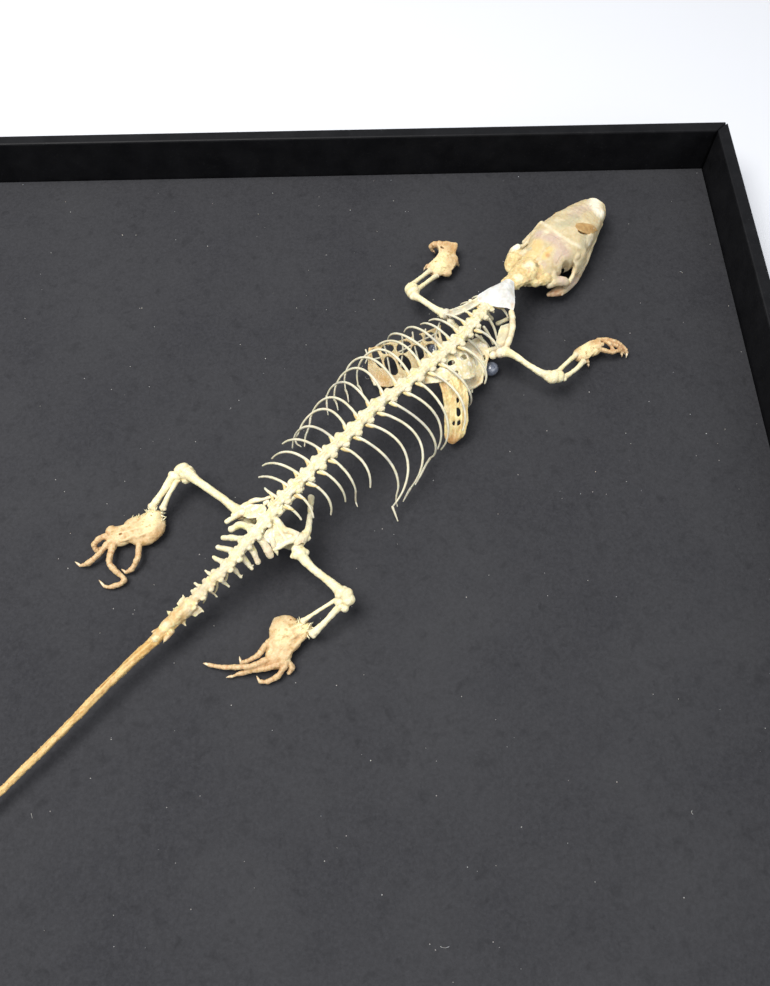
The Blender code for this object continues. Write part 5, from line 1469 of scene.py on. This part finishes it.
def buildTailBase():
    work = bmesh.new()
    bodies = [np.array(body) for body in tail["bodies"]]
    for number, place in enumerate(bodies):
        share = number / (len(bodies) - 1)
        heading = bodies[max(number - 1, 0)] - bodies[min(number + 1, len(bodies) - 1)]
        heading /= np.linalg.norm(heading)
        half = tail["bodyHalf"][0] + (tail["bodyHalf"][1] - tail["bodyHalf"][0]) * share
        addVertebra(work, place, heading, (1.15 - 0.1 * share, half, 1.3 - 0.3 * share))  # smaller rearwards
    for bar in tail["bars"]:
        addRod(work, bar, sides=12, parts=6)
    for web in tail["webs"]:
        addSheet(work, web, thickness=0.42, parts=5)
    addRod(work, tail["stump"], sides=16, parts=6)
    sculptPiece("tailVertebrae", work, tail["baseClay"], spineFinish, ("tail_base",),
        tail["baseStains"])
    rodPiece("tailChevrons", tail["chevrons"], boneFinish, "bone", sides=8, parts=4, bumpHeight=0.08)


def buildTailRod():
    work = bmesh.new()
    addRod(work, [(*row[:3], row[3] * 0.9) for row in tail["rod"]], sides=20, parts=12, flat=0.9)
    mesh = sculptMesh(work, tail["clay"])
    places = readPoints(mesh)
    # lengthwise shrivelled furrows
    facing = readPoints(mesh, "normal")
    route = np.array([row[:3] for row in curveThrough(tail["rod"], 12)])
    nearest = np.array([((route - place) ** 2).sum(axis=1).argmin() for place in places])
    away = places - route[nearest]
    angle = np.arctan2(away[:, 2], away[:, 0] - away[:, 1])
    look = tail["furrows"]
    sway = np.sin(nearest * look["pace"]) * look["sway"]
    wave = np.sin(angle * look["count"] + sway) * np.exp(-nearest / look["fade"])
    writePoints(mesh, places + facing * (look["depth"] * wave)[:, None])
    markHollows(mesh, 0.05)
    paintSpots(mesh, tail["rodStains"])
    mesh.transform(toMetres)
    skinMesh = mesh.copy()
    finishPiece("tailRod", mesh, tailFinish, ("tail_rod_1", "tail_rod_2", "tail_rod_3"))
    warts = growthMesh(skinMesh, grain, tailFinish, tail["warts"], *tail["wartSize"], lean=0.4, seed=6)
    finishPiece("tailWarts", warts, tailFinish)


buildHips()
buildTailBase()
buildTailRod()
print("hips and tail built")

# Limb bones: rows of x, y, height and radius, then knobs as centre and half size
limbs = {
    "clay": {"voxel": 0.11, "soften": 8, "lumps": ((0.14, 1.9), (0.05, 0.5)), "seed": 51,
        "hollowDepth": 0.07},
    "femur_left": (((0.9, 13.1, 7.5, 1.05), (-0.5, 14.2, 7.2, 0.85), (-2.4, 16.0, 6.9, 0.75),
            (-5.2, 18.3, 6.5, 0.72), (-7.7, 20.3, 6.2, 0.9), (-9.4, 21.8, 6.0, 1.2)),
        (((-10.4, 22.4, 5.9), (1.6, 1.3, 1.2)), ((-9.0, 21.6, 5.7), (1.2, 1.1, 1.05)),
            ((0.2, 12.4, 7.4), (0.8, 0.6, 0.6)), ((-11.2, 21.4, 5.4), (1.2, 1.0, 1.0)),
            ((-9.6, 20.7, 5.2), (0.9, 0.8, 0.8)))),
    "femur_right": (((11.9, 4.8, 7.5, 1.15), (12.8, 3.6, 7.1, 0.85), (14.5, 1.9, 6.8, 0.74),
            (17.1, -0.2, 6.4, 0.76), (19.1, -2.0, 6.1, 1.1)),
        (((19.9, -2.3, 5.9), (1.3, 1.15, 1.1)), ((20.2, -3.1, 5.5), (1.25, 1.15, 1.1)),
            ((19.6, -4.3, 4.9), (0.8, 0.8, 0.8)), ((18.8, -3.2, 5.3), (1.1, 0.95, 0.95)),
            ((11.5, 5.7, 7.6), (1.2, 0.9, 0.9)), ((10.9, 4.6, 7.2), (0.8, 0.6, 0.6)),
            ((12.9, 5.0, 7.3), (0.7, 0.6, 0.7)))),
    "tibia_left": (((-11.9, 21.4, 5.4, 1.0), (-13.3, 19.3, 4.8, 0.66), (-14.8, 17.5, 4.0, 0.62),
            (-15.9, 16.2, 3.4, 0.72)), ()),
    "fibula_left": (((-11.2, 20.7, 5.3, 0.55), (-12.0, 19.2, 5.0, 0.45), (-12.9, 17.7, 4.4, 0.45),
            (-13.8, 15.8, 3.6, 0.6)), ()),
    "tibia_right": (((19.0, -4.0, 5.0, 0.9), (17.9, -4.9, 4.6, 0.6), (17.0, -5.7, 4.2, 0.55),
            (15.3, -7.3, 3.6, 0.6), (13.9, -8.3, 3.0, 0.75)), ()),
    "fibula_right": (((18.5, -2.8, 5.3, 0.45), (16.4, -3.9, 4.8, 0.34), (13.9, -5.3, 4.2, 0.34),
            (12.3, -6.1, 3.4, 0.5)), ()),
    "humerus_left": (((39.4, 55.5, 7.4, 0.9), (37.7, 57.0, 7.1, 0.66), (35.4, 59.5, 6.6, 0.58),
            (33.7, 61.4, 6.0, 0.95)),
        (((33.4, 62.6, 5.6), (1.5, 1.25, 1.2)), ((33.1, 63.6, 5.4), (1.5, 1.3, 1.15)))),
    "humerus_right": (((50.7, 46.3, 7.4, 1.0), (52.4, 45.4, 7.2, 0.72), (55.0, 43.6, 6.7, 0.6),
            (57.2, 42.2, 6.2, 0.72), (58.9, 41.5, 5.8, 1.0)),
        (((59.9, 41.3, 5.6), (1.6, 1.25, 1.2)), ((61.0, 41.6, 5.3), (1.35, 1.25, 1.1)))),
    "radius_left": (((33.1, 64.6, 5.2, 0.7), (34.2, 66.1, 4.8, 0.46), (35.8, 68.1, 4.1, 0.44),
            (37.2, 70.0, 3.3, 0.55)), ()),
    "ulna_left": (((34.2, 63.8, 5.0, 0.7), (35.4, 64.9, 4.7, 0.46), (37.0, 66.8, 4.1, 0.46),
            (38.6, 68.8, 3.2, 0.55)), ()),
    "radius_right": (((61.1, 42.7, 5.0, 0.65), (62.1, 44.1, 4.7, 0.45), (63.9, 46.1, 4.1, 0.44),
            (65.6, 48.1, 3.3, 0.55)), ()),
    "ulna_right": (((62.0, 41.5, 4.9, 0.68), (63.5, 42.7, 4.5, 0.46), (65.2, 44.3, 4.0, 0.46),
            (66.9, 46.5, 3.1, 0.55)), ())}


# The pair of small knobs at each end, and how thin bones differ
limbEnds = {"apart": 0.5, "share": 0.72, "thin": 0.5,
    "thinClay": {"voxel": 0.09, "lumps": ((0.05, 0.9), (0.02, 0.3))}}


def buildLimbs():
    for name, parts in limbs.items():
        if name == "clay":
            continue
        rows, knobs = parts
        work = bmesh.new()
        addRod(work, rows, sides=14, parts=8)
        for end, nearby in ((rows[0], rows[1]), (rows[-1], rows[-2])):
            span = np.array(end[:3]) - np.array(nearby[:3])
            aside = np.cross(span, (0, 0, 1.0))
            aside = aside / np.linalg.norm(aside) * end[3] * limbEnds["apart"]
            for sign in (1, -1):
                addBlob(work, tuple(np.array(end[:3]) + aside * sign), (end[3] * limbEnds["share"],) * 3)
        for centre, size in knobs:
            addBlob(work, centre, size, 40)
        ends = {"rosy": ((rows[-1][:3], 2.0, 0.35),),
            "amber": (((*rows[0][:2], rows[0][2] - 0.9), 1.7, 0.5),)}
        clay = dict(limbs["clay"], seed=len(name) + int(rows[0][0]))
        if rows[1][3] < limbEnds["thin"]:
            clay.update(limbEnds["thinClay"])
        sculptPiece(name + "_bone", work, clay, boneFinish, (name,), ends)


# Feet and hands in dried skin: cushions, webs, faint ridges over them, toes and claws
feet = {
    "clay": {"voxel": 0.1, "soften": 6, "lumps": ((0.16, 1.3), (0.05, 0.4)), "seed": 61,
        "hollowDepth": 0.07},
    "granules": 1.4, "granuleSize": (0.05, 0.11), "bristles": 3.0, "bristleSize": (0.45, 0.95),
    "crease": (0.14, 0.05), "webThickness": 1.15, "knuckle": 1.16, "claw": (0.27, 0.2, 0.05),
    "clawBow": 0.18, "creaseRise": 0.4, "toeMarks": (1.3, 1.1), "heelGrey": 0.2}
footLeft = {
    "holeTurn": 15,
    "pads": (((-16.2, 12.9, 2.0), (2.8, 2.9, 1.5), 14), ((-18.4, 12.3, 1.9), (3.1, 2.8, 1.45), 14),
        ((-21.6, 11.3, 1.7), (2.6, 2.1, 1.2), 14), ((-23.3, 12.1, 1.8), (1.1, 1.1, 0.8), 40),
        ((-17.0, 11.0, 1.7), (2.9, 1.7, 1.2), 14), ((-15.8, 14.4, 2.5), (2.0, 1.5, 1.2), 30)),
    "webs": (),
    "ridges": (((-16.0, 13.8, 2.9, 0.5), (-19.0, 13.2, 2.8, 0.4), (-23.4, 12.0, 2.1, 0.42)),
        ((-16.0, 12.6, 3.1, 0.45), (-20.0, 11.6, 2.9, 0.4), (-24.0, 10.7, 2.1, 0.42)),
        ((-16.0, 11.4, 2.8, 0.45), (-19.5, 10.4, 2.6, 0.4), (-22.6, 9.7, 2.0, 0.44))),
    "toes": (((-23.2, 11.6, 2.0, 0.55), (-24.0, 11.1, 2.2, 0.55), (-25.2, 10.4, 2.4, 0.54),
            (-26.1, 9.5, 2.0, 0.5), (-25.7, 8.7, 1.3, 0.44), (-25.0, 9.2, 0.9, 0.32)),
        ((-23.0, 10.2, 2.0, 0.6), (-23.9, 9.2, 2.1, 0.6), (-25.1, 7.5, 2.0, 0.56), (-26.9, 6.2, 1.4, 0.5),
            (-28.4, 5.9, 0.9, 0.36)),
        ((-21.8, 10.0, 1.8, 0.6), (-22.6, 9.0, 2.0, 0.62), (-22.9, 6.4, 2.2, 0.58), (-22.1, 4.9, 2.0, 0.55),
            (-20.1, 2.9, 1.2, 0.5), (-22.0, 1.8, 0.9, 0.46), (-23.6, 1.9, 0.8, 0.34)),
        ((-18.0, 10.2, 1.8, 0.55), (-17.9, 8.2, 1.9, 0.55), (-17.9, 6.4, 2.0, 0.52),
            (-19.0, 4.9, 1.4, 0.48), (-20.0, 4.4, 0.9, 0.34))),
    "claws": ((-24.3, 9.5, 0.9), (-29.5, 6.7, 0.9), (-24.6, 3.0, 1.1), (-20.9, 5.1, 0.9)),
    "holes": (((-21.2, 11.1, 3.0), (0.38, 0.2, 0.5)),),
    "fringe": (((-18.6, 15.0, 2.2), 1.7), ((-16.0, 15.8, 2.6), 2.0), ((-14.0, 14.8, 2.6), 1.5)),
    "heel": ((-13.6, 13.0, 2.0), 2.2),
    "edge": (((-14.4, 10.8, 1.6), 2.3, 0.9), ((-16.8, 9.9, 1.4), 2.0, 0.7), ((-23.2, 12.6, 2.2), 1.5, 0.5)),
    "paintedHighlights": (((-15.8, 14.2, 3.0), 2.2, 0.9), ((-16.4, 12.6, 3.2), 1.8, 0.6))}
footRight = {
    "holeTurn": 15,
    "pads": (((9.2, -7.4, 2.0), (2.9, 2.9, 1.4), 0), ((9.0, -9.4, 1.9), (3.0, 2.2, 1.35), 10),
        ((8.2, -11.4, 1.7), (2.4, 1.9, 1.2), 10), ((7.8, -12.8, 1.5), (2.0, 1.2, 1.0), 10),
        ((11.9, -7.4, 2.1), (2.1, 1.7, 1.3), 30), ((8.4, -5.7, 1.7), (1.9, 1.2, 1.1), 20)),
    "webs": (),
    "ridges": (((11.8, -6.8, 3.1, 0.45), (8.6, -8.2, 2.9, 0.42), (6.6, -11.2, 2.2, 0.42)),
        ((12.2, -7.6, 3.0, 0.45), (9.4, -9.8, 2.8, 0.42), (7.2, -12.4, 2.2, 0.42)),
        ((12.4, -8.6, 2.6, 0.45), (10.4, -10.8, 2.4, 0.42), (8.9, -13.0, 2.0, 0.42))),
    "toes": (((6.4, -9.2, 1.9, 0.52), (5.7, -10.1, 2.1, 0.52), (4.7, -11.6, 2.2, 0.5),
            (2.9, -12.4, 1.6, 0.46), (1.7, -12.6, 1.0, 0.36)),
        ((7.0, -12.0, 2.0, 0.6), (5.7, -12.6, 2.2, 0.58), (3.4, -13.5, 2.3, 0.52), (0.8, -13.5, 2.0, 0.47),
            (-1.8, -13.3, 1.4, 0.42), (-4.0, -12.7, 0.9, 0.32)),
        ((8.8, -12.8, 2.1, 0.55), (8.0, -13.3, 2.2, 0.54), (5.9, -13.9, 2.0, 0.5), (3.4, -14.1, 1.6, 0.46),
            (1.3, -14.5, 1.1, 0.38), (0.2, -14.8, 0.8, 0.28)),
        ((9.4, -12.9, 1.8, 0.55), (9.1, -13.8, 1.9, 0.54), (8.1, -15.0, 1.4, 0.5), (6.4, -15.8, 1.0, 0.46),
            (5.0, -15.8, 0.8, 0.32)),
        ((9.6, -12.4, 1.7, 0.6), (10.4, -13.5, 1.2, 0.55), (9.8, -14.4, 0.8, 0.42))),
    "claws": ((1.3, -11.4, 0.9), (-4.9, -12.4, 0.7), (-0.8, -14.9, 0.5), (4.4, -14.8, 0.8), None),
    "holes": (((10.2, -5.6, 3.0), (0.2, 0.2, 0.4)),),
    "fringe": (((12.8, -6.4, 2.9), 2.0), ((14.0, -7.6, 2.6), 1.5)),
    "heel": ((7.2, -5.6, 1.9), 1.8),
    "edge": (((11.0, -4.9, 2.2), 1.8, 0.8), ((10.6, -10.6, 1.8), 1.8, 0.6), ((7.6, -13.4, 1.6), 2.4, 0.6),
        ((6.6, -7.0, 2.0), 1.6, 0.35)),
    "paintedHighlights": (((12.4, -7.0, 3.1), 1.9, 0.9), ((9.0, -8.6, 3.2), 2.2, 0.4))}
handLeft = {
    "holeTurn": -40,
    "pads": (((38.9, 71.3, 2.2), (2.0, 1.7, 1.0), 60), ((40.8, 70.6, 1.9), (1.2, 1.0, 0.8), 0),
        ((40.4, 73.2, 2.5), (2.2, 1.9, 0.8), 80)),
    "webs": (((36.6, 71.6, 2.2), (38.8, 70.1, 2.0), (41.0, 70.1, 1.7)),
        ((37.4, 72.5, 2.7), (39.6, 71.6, 2.9), (42.1, 71.5, 2.0)),
        ((38.9, 73.8, 3.0), (40.9, 73.6, 3.1), (42.8, 73.1, 2.4)),
        ((39.4, 75.7, 3.2), (41.0, 75.6, 3.3), (42.6, 75.0, 2.8)),
        ((39.0, 77.0, 3.2), (40.9, 77.1, 3.4), (43.0, 76.9, 3.1))),
    "ridges": (((38.6, 71.0, 2.9, 0.4), (39.9, 73.6, 3.3, 0.34), (39.8, 76.6, 3.5, 0.4)),
        ((39.4, 70.6, 2.8, 0.4), (41.4, 73.4, 3.2, 0.34), (41.6, 76.6, 3.5, 0.4)),
        ((40.6, 70.0, 2.1, 0.4), (42.9, 73.2, 2.4, 0.5), (42.5, 75.0, 2.8, 0.52), (43.0, 76.9, 3.1, 0.6))),
    "toes": (((41.0, 77.1, 3.4, 0.7), (39.6, 77.1, 3.4, 0.68), (38.6, 77.4, 3.1, 0.66),
            (37.9, 77.3, 2.5, 0.54), (38.2, 76.9, 1.7, 0.32)),
        ((43.0, 77.0, 3.2, 0.6), (41.2, 77.3, 3.4, 0.56), (40.0, 77.7, 2.8, 0.48), (39.3, 77.8, 2.0, 0.4),
            (39.6, 77.6, 1.3, 0.28)),
        ((42.8, 76.4, 3.0, 0.55), (42.7, 77.5, 2.6, 0.5), (41.9, 78.1, 2.0, 0.42), (41.5, 78.1, 1.3, 0.28)),
        ((41.9, 72.4, 2.1, 0.5), (43.0, 73.1, 2.1, 0.5), (43.5, 73.2, 1.4, 0.36)),
        ((38.0, 71.6, 2.3, 0.55), (36.9, 72.1, 2.4, 0.46), (36.4, 72.0, 1.9, 0.32))),
    "claws": ((38.8, 76.6, 1.2), (40.2, 77.3, 0.9), (42.0, 77.9, 0.9), (43.7, 73.0, 0.9),
        (36.1, 71.7, 1.3)),
    "holes": (((40.1, 75.9, 3.2), (0.55, 0.26, 1.4)), ((38.3, 75.3, 3.2), (0.9, 1.1, 1.6))),
    "fringe": (),
    "heel": ((43.2, 73.4, 2.0), 1.2),
    "edge": (((40.4, 77.6, 3.2), 2.2, 0.9), ((42.8, 76.0, 3.2), 2.0, 0.9), ((43.2, 73.2, 2.4), 1.4, 0.6),
        ((38.4, 77.6, 3.2), 1.3, 0.7)),
    "paintedHighlights": (((39.4, 71.8, 3.2), 2.4, 0.9), ((40.4, 74.0, 3.4), 1.4, 0.5))}
handRight = {
    "holeTurn": 15,
    "pads": (((67.0, 48.7, 2.5), (2.0, 1.6, 1.2), 40), ((69.2, 49.9, 2.5), (2.0, 1.6, 1.1), 30)),
    "webs": (((65.6, 48.4, 2.8), (66.2, 47.9, 2.9), (66.9, 47.2, 2.3)),
        ((66.9, 49.9, 3.0), (67.9, 49.0, 3.2), (68.1, 47.9, 2.4)),
        ((68.8, 50.9, 3.1), (69.4, 50.0, 3.2), (69.5, 49.0, 2.6)),
        ((70.7, 51.5, 3.1), (70.8, 50.7, 3.2), (70.7, 49.6, 2.8))),
    "ridges": (((66.4, 48.8, 3.4, 0.4), (68.6, 50.6, 3.5, 0.36), (70.8, 51.5, 3.3, 0.42)),
        ((66.8, 48.2, 3.2, 0.4), (69.2, 49.6, 3.4, 0.36), (71.2, 50.5, 3.3, 0.42)),
        ((67.0, 47.6, 2.7, 0.4), (69.2, 48.9, 2.8, 0.38), (71.0, 49.5, 2.8, 0.42))),
    "toes": (((70.4, 51.5, 3.2, 0.5), (71.9, 51.6, 3.2, 0.5), (73.4, 51.3, 2.9, 0.5),
            (74.9, 50.8, 2.5, 0.46), (76.1, 50.0, 1.7, 0.4), (76.4, 49.5, 1.2, 0.28)),
        ((70.4, 49.6, 2.8, 0.48), (71.7, 49.3, 2.6, 0.46), (73.1, 49.1, 2.4, 0.46), (74.6, 49.6, 2.1, 0.4),
            (75.5, 49.9, 1.4, 0.28)),
        ((71.6, 51.3, 3.1, 0.42), (72.6, 50.6, 3.1, 0.44), (73.3, 49.5, 2.5, 0.42)),
        ((72.8, 50.6, 3.0, 0.4), (74.1, 50.4, 2.7, 0.4), (75.0, 50.0, 2.2, 0.36), (75.3, 49.4, 1.4, 0.28)),
        ((73.0, 51.6, 2.8, 0.42), (74.6, 51.6, 2.2, 0.4), (75.4, 51.1, 1.6, 0.28)),
        ((67.6, 47.8, 2.4, 0.5), (68.0, 47.2, 1.9, 0.4), (68.2, 46.8, 1.5, 0.24))),
    "claws": ((76.3, 48.8, 0.7), (76.0, 49.5, 0.9), None, (75.4, 48.9, 0.9), (76.0, 50.7, 1.1),
        (68.3, 46.5, 1.0)),
    "holes": (), "fringe": (),
    "heel": ((75.2, 50.9, 2.2), 1.0),
    "edge": (((69.4, 51.4, 3.0), 2.2, 0.8), ((71.8, 51.8, 3.0), 2.0, 0.8), ((73.8, 50.6, 2.4), 1.8, 0.5)),
    "paintedHighlights": (((67.6, 49.0, 3.3), 1.9, 0.9), ((69.2, 49.4, 3.2), 1.4, 0.6))}


def buildFoot(name, look):
    work = bmesh.new()
    for centre, size, heading in look["pads"]:
        addBlob(work, centre, size, heading)
    if look["webs"]:
        addSheet(work, look["webs"], thickness=feet["webThickness"], parts=4)
    for row in look["ridges"] + look["toes"]:
        addRod(work, row, sides=10, parts=6)
    for row in look["toes"]:
        for knot in row[1:-1]:
            addBlob(work, knot[:3], (knot[3] * feet["knuckle"],) * 3, segments=10)
    if look["holes"]:
        cutters = bmesh.new()
        for centre, size in look["holes"]:
            addBlob(cutters, centre, size, look["holeTurn"], segments=14)
    creases = []
    for row in look["toes"]:
        path = curveThrough(row, 4)
        for step in range(2, len(path) - 1, 2):
            ahead = path[step + 1][:3] - path[step][:3]
            aside = np.cross(ahead, (0, 0, 1.0))
            aside = aside / max(np.linalg.norm(aside), 1e-6) * path[step][3]
            rise = path[step][3] * feet["creaseRise"]
            creases.append([path[step][:3] - aside + (0, 0, rise), path[step][:3] + (0, 0, path[step][3]),
                    path[step][:3] + aside + (0, 0, rise)])
    mesh = sculptMesh(work, feet["clay"])
    if look["holes"]:
        clay = bmesh.new()
        clay.from_mesh(mesh)
        work = cutAway(clay, cutters)
        mesh = sculptMesh(work, dict(feet["clay"], soften=2, lumps=((0.03, 0.3),)))
    carveLines(mesh, creases, *feet["crease"])
    markHollows(mesh, feet["clay"]["hollowDepth"])
    toes = []
    between, onKnot = feet["toeMarks"]
    for row in look["toes"]:
        toes += [(tuple((np.array(one[:3]) + two[:3]) / 2), between, 1.0)
            for one, two in zip(row[1:], row[2:])]
        toes += [(knot[:3], onKnot, 1.0) for knot in row[1:]]
    # The pale spots on the top of each foot and hand are a painted highlight.
    paintSpots(mesh,
        {"amber": look["edge"], "grey": ((*look["heel"], feet["heelGrey"]),), "pale": look["paintedHighlights"],
            "toe": toes})
    heel = mesh.copy()
    paintSpots(heel, {"growth": ((look["heel"][0], look["heel"][1], 1.0),)})
    fringe = mesh.copy()
    paintSpots(fringe, {"growth": [(centre, radius, 1.0) for centre, radius in look["fringe"]]})
    for part in (mesh, heel, fringe):
        part.transform(toMetres)
    finishPiece(name + "_skin", mesh, skinFinish, (name,))
    bumps = growthMesh(heel, grain, skinFinish, feet["granules"], *feet["granuleSize"], lean=0.5, seed=3)
    finishPiece(name + "_granules", bumps, skinFinish)
    if look["fringe"]:
        hairs = growthMesh(fringe, bristle, boneFinish, feet["bristles"], *feet["bristleSize"], lean=0.5,
            seed=4)
        finishPiece(name + "_fringe", hairs, boneFinish)
    claws = []
    for toe, end in zip(look["toes"], look["claws"]):
        if end:
            start, end = np.array(toe[-1][:3]), np.array(end)
            middle = (start + end) / 2 + (0, 0, feet["clawBow"])
            claws.append([(*place, radius) for place, radius in zip((start, middle, end), feet["claw"])])
    rodPiece(name + "_claws", claws, clawFinish, "dried_skin", sides=10, parts=5, bumpHeight=0.0)


buildLimbs()
for name, look in (("foot_left", footLeft), ("foot_right", footRight), ("hand_left", handLeft),
        ("hand_right", handRight)):
    buildFoot(name, look)
print("limbs built")


# Shoulders, breastbone, chest panel, the white sheet over the neck and the amber nape
shoulders = {
    "clay": {"voxel": 0.11, "soften": 5, "lumps": ((0.12, 1.4), (0.04, 0.5)), "seed": 71},
    "sternum": (((43.0, 39.6, 3.9), (44.6, 40.4, 3.6), (46.4, 41.4, 3.9)),
        ((42.0, 43.0, 4.2), (44.6, 43.4, 3.7), (47.0, 44.0, 4.2)),
        ((40.6, 46.4, 4.6), (44.4, 47.0, 3.9), (47.9, 47.2, 4.6)),
        ((42.6, 50.0, 4.4), (45.4, 50.4, 4.0), (48.0, 50.4, 4.4))),
    "panel": (((41.6, 48.2, 6.6), (44.0, 49.6, 6.2), (46.6, 51.4, 5.9)),
        ((40.8, 44.8, 6.4), (44.2, 46.3, 5.6), (47.9, 48.4, 5.2)),
        ((41.2, 42.4, 5.8), (44.2, 43.0, 4.8), (47.4, 44.8, 4.2)),
        ((42.2, 40.6, 4.8), (44.0, 40.4, 3.9), (46.4, 41.6, 3.2))),
    "gaps": (((43.4, 42.7, 4.4), (0.45, 0.8, 1.5)), ((45.8, 50.9, 5.8), (0.7, 0.4, 1.5)),
        ((46.9, 46.4, 4.9), (0.35, 0.7, 1.5))),
    "sheet": (((51.7, 61.7, 9.6), (52.1, 61.8, 9.8), (52.6, 61.7, 9.9), (53.0, 61.6, 9.7),
            (53.4, 61.4, 9.4)),
        ((49.5, 60.3, 9.7), (50.6, 60.1, 10.2), (51.7, 59.8, 10.4), (52.6, 59.5, 10.0), (53.3, 59.2, 9.5)),
        ((47.6, 59.3, 9.6), (49.2, 58.8, 10.3), (50.9, 57.9, 10.6), (52.2, 57.2, 10.1), (53.2, 56.6, 9.5)),
        ((46.2, 58.5, 9.3), (47.8, 57.6, 10.0), (49.8, 56.8, 10.4), (51.6, 56.0, 10.0), (53.0, 55.2, 9.4)),
        ((46.0, 57.0, 9.2), (47.6, 55.9, 9.6), (49.8, 55.2, 9.6), (51.8, 55.0, 9.4), (52.8, 54.2, 9.2))),
    "plateStains": {
        "rosy": (((45.0, 47.4, 5.4), 2.2, 0.7), ((43.6, 41.6, 4.0), 2.0, 0.5)),
        "pale": (((44.6, 48.8, 5.9), 2.0, 0.8), ((47.0, 49.8, 5.6), 1.8, 0.8)),
        "amber": (((45.2, 42.0, 3.6), 2.0, 0.5), ((48.0, 46.4, 4.9), 1.4, 0.5))},
    "sheetStains": {"amber": (((53.0, 55.2, 9.6), 1.3, 0.6), ((46.2, 57.4, 9.2), 1.0, 0.4))},
    "napeStains": {"pale": (((56.8, 65.6, 9.6), 1.6, 0.7), ((54.6, 62.4, 9.6), 1.2, 0.6)),
        "dark": (((58.6, 66.0, 9.2), 0.8, 0.6),)},
    "plateClay": {"voxel": 0.11, "soften": 5, "lumps": ((0.2, 1.6), (0.07, 0.5)), "seed": 73,
        "hollowDepth": 0.08},
    "sheetClay": {"voxel": 0.11, "soften": 5, "lumps": ((0.14, 2.0), (0.04, 0.6)), "seed": 75},
    "napeClay": {"voxel": 0.13, "soften": 3, "lumps": ((0.3, 1.5), (0.12, 0.6), (0.04, 0.25)), "seed": 77,
        "hollowDepth": 0.09},
    "nape": (((52.2, 61.2, 8.8, 1.5), (54.2, 62.9, 8.5, 2.1), (56.4, 65.2, 7.8, 2.9),
            (58.6, 67.4, 7.2, 3.3)),
        ((54.4, 65.4, 7.6, 1.2), (53.8, 67.8, 7.2, 1.6), (55.4, 70.6, 6.8, 1.9)),
        ((57.6, 63.8, 7.4, 1.6), (60.0, 64.6, 6.9, 1.9), (61.6, 65.4, 6.4, 1.6)))}
leftShoulder = {
    "sockets": (((39.6, 55.5, 7.4), (1.2, 1.05, 1.1)), ((38.7, 56.4, 7.2), (0.8, 0.7, 0.7))),
    "blade": (((39.7, 55.4, 7.6), (40.0, 54.6, 8.0), (40.4, 53.9, 8.2)),
        ((41.7, 56.0, 8.0), (42.0, 55.1, 8.5), (42.3, 54.4, 8.7)),
        ((44.1, 56.8, 8.5), (44.4, 56.0, 9.0), (44.7, 55.3, 9.2)),
        ((46.6, 58.2, 9.0), (46.9, 57.5, 9.3), (47.2, 56.9, 9.4))),
    "bars": (((44.6, 57.4, 8.9, 0.45), (46.6, 58.0, 6.8, 0.42), (49.2, 56.6, 4.2, 0.5)),
        ((40.6, 54.0, 6.9, 0.8), (42.0, 52.8, 5.6, 0.65), (43.4, 51.6, 4.4, 0.7)),
        ((39.6, 55.6, 7.5, 0.5), (41.8, 56.2, 8.0, 0.34), (44.3, 57.0, 8.6, 0.34),
            (46.7, 58.3, 9.1, 0.34)))}
rightShoulder = {
    "sockets": (((49.9, 46.2, 7.1), (1.2, 1.0, 1.1)), ((51.0, 46.7, 7.3), (0.9, 0.8, 0.8)),
        ((48.6, 46.0, 6.6), (0.9, 0.8, 0.8))),
    "blade": (((49.0, 47.4, 6.6), (49.6, 47.1, 7.0), (50.4, 46.9, 7.3)),
        ((49.5, 49.9, 6.7), (50.5, 49.7, 7.2), (51.7, 49.4, 7.7)),
        ((50.4, 52.4, 7.4), (51.4, 52.3, 7.9), (52.2, 52.2, 8.4))),
    "bars": (((52.9, 53.6, 8.4, 0.45), (52.6, 55.0, 6.4, 0.42), (50.4, 55.4, 4.2, 0.5)),
        ((49.6, 47.2, 6.9, 0.8), (48.8, 47.9, 5.6, 0.65), (47.9, 48.4, 4.4, 0.7)),
        ((52.4, 54.2, 9.2, 0.55), (52.5, 51.9, 8.9, 0.62), (52.0, 49.3, 8.3, 0.6), (50.9, 46.9, 7.6, 0.6)))}


def buildShoulders():
    for side, look in (("left", leftShoulder), ("right", rightShoulder)):
        work = bmesh.new()
        for socket, size in look["sockets"]:
            addBlob(work, socket, size, 40)
        addSheet(work, look["blade"], thickness=0.45, parts=4)
        for bar in look["bars"]:
            addRod(work, bar, sides=12, parts=6)
        blade = [place for row in look["blade"] for place in row]
        stains = {
            "rosy": ((look["sockets"][0][0], 1.9, 0.9),),
            "grey": [(place, 1.8, 0.9 if side == "left" else 0.7) for place in blade],
            "amber": [(place[:3], 1.5, 0.9) for place in look["bars"][2]] if side == "right" else []}
        sculptPiece("shoulder_" + side + "_bones", work, shoulders["clay"], boneFinish,
            ("shoulder_" + side,), stains)
    work = bmesh.new()
    addSheet(work, shoulders["sternum"], thickness=0.5, parts=5)
    addSheet(work, shoulders["panel"], thickness=0.45, parts=5)
    cutters = bmesh.new()
    for centre, size in shoulders["gaps"]:
        addBlob(cutters, centre, size, -15, segments=14)
    bmesh.ops.recalc_face_normals(work, faces=work.faces)
    work = cutAway(work, cutters)
    sculptPiece("breastPlate", work, shoulders["plateClay"], panelFinish, ("sternum",),
        shoulders["plateStains"])
    work = bmesh.new()
    addSheet(work, shoulders["sheet"], thickness=0.45, parts=4)
    sculptPiece("napeSheet", work, shoulders["sheetClay"], whiteFinish, ("nape_cartilage",),
        shoulders["sheetStains"])
    work = bmesh.new()
    for bar in shoulders["nape"]:
        addRod(work, bar, sides=14, parts=6, flat=0.62)
    sculptPiece("napeSkin", work, shoulders["napeClay"], napeFinish, (),
        shoulders["napeStains"])


buildShoulders()
print("shoulders built")

for form in (grain, bristle):
    dropObject(form)
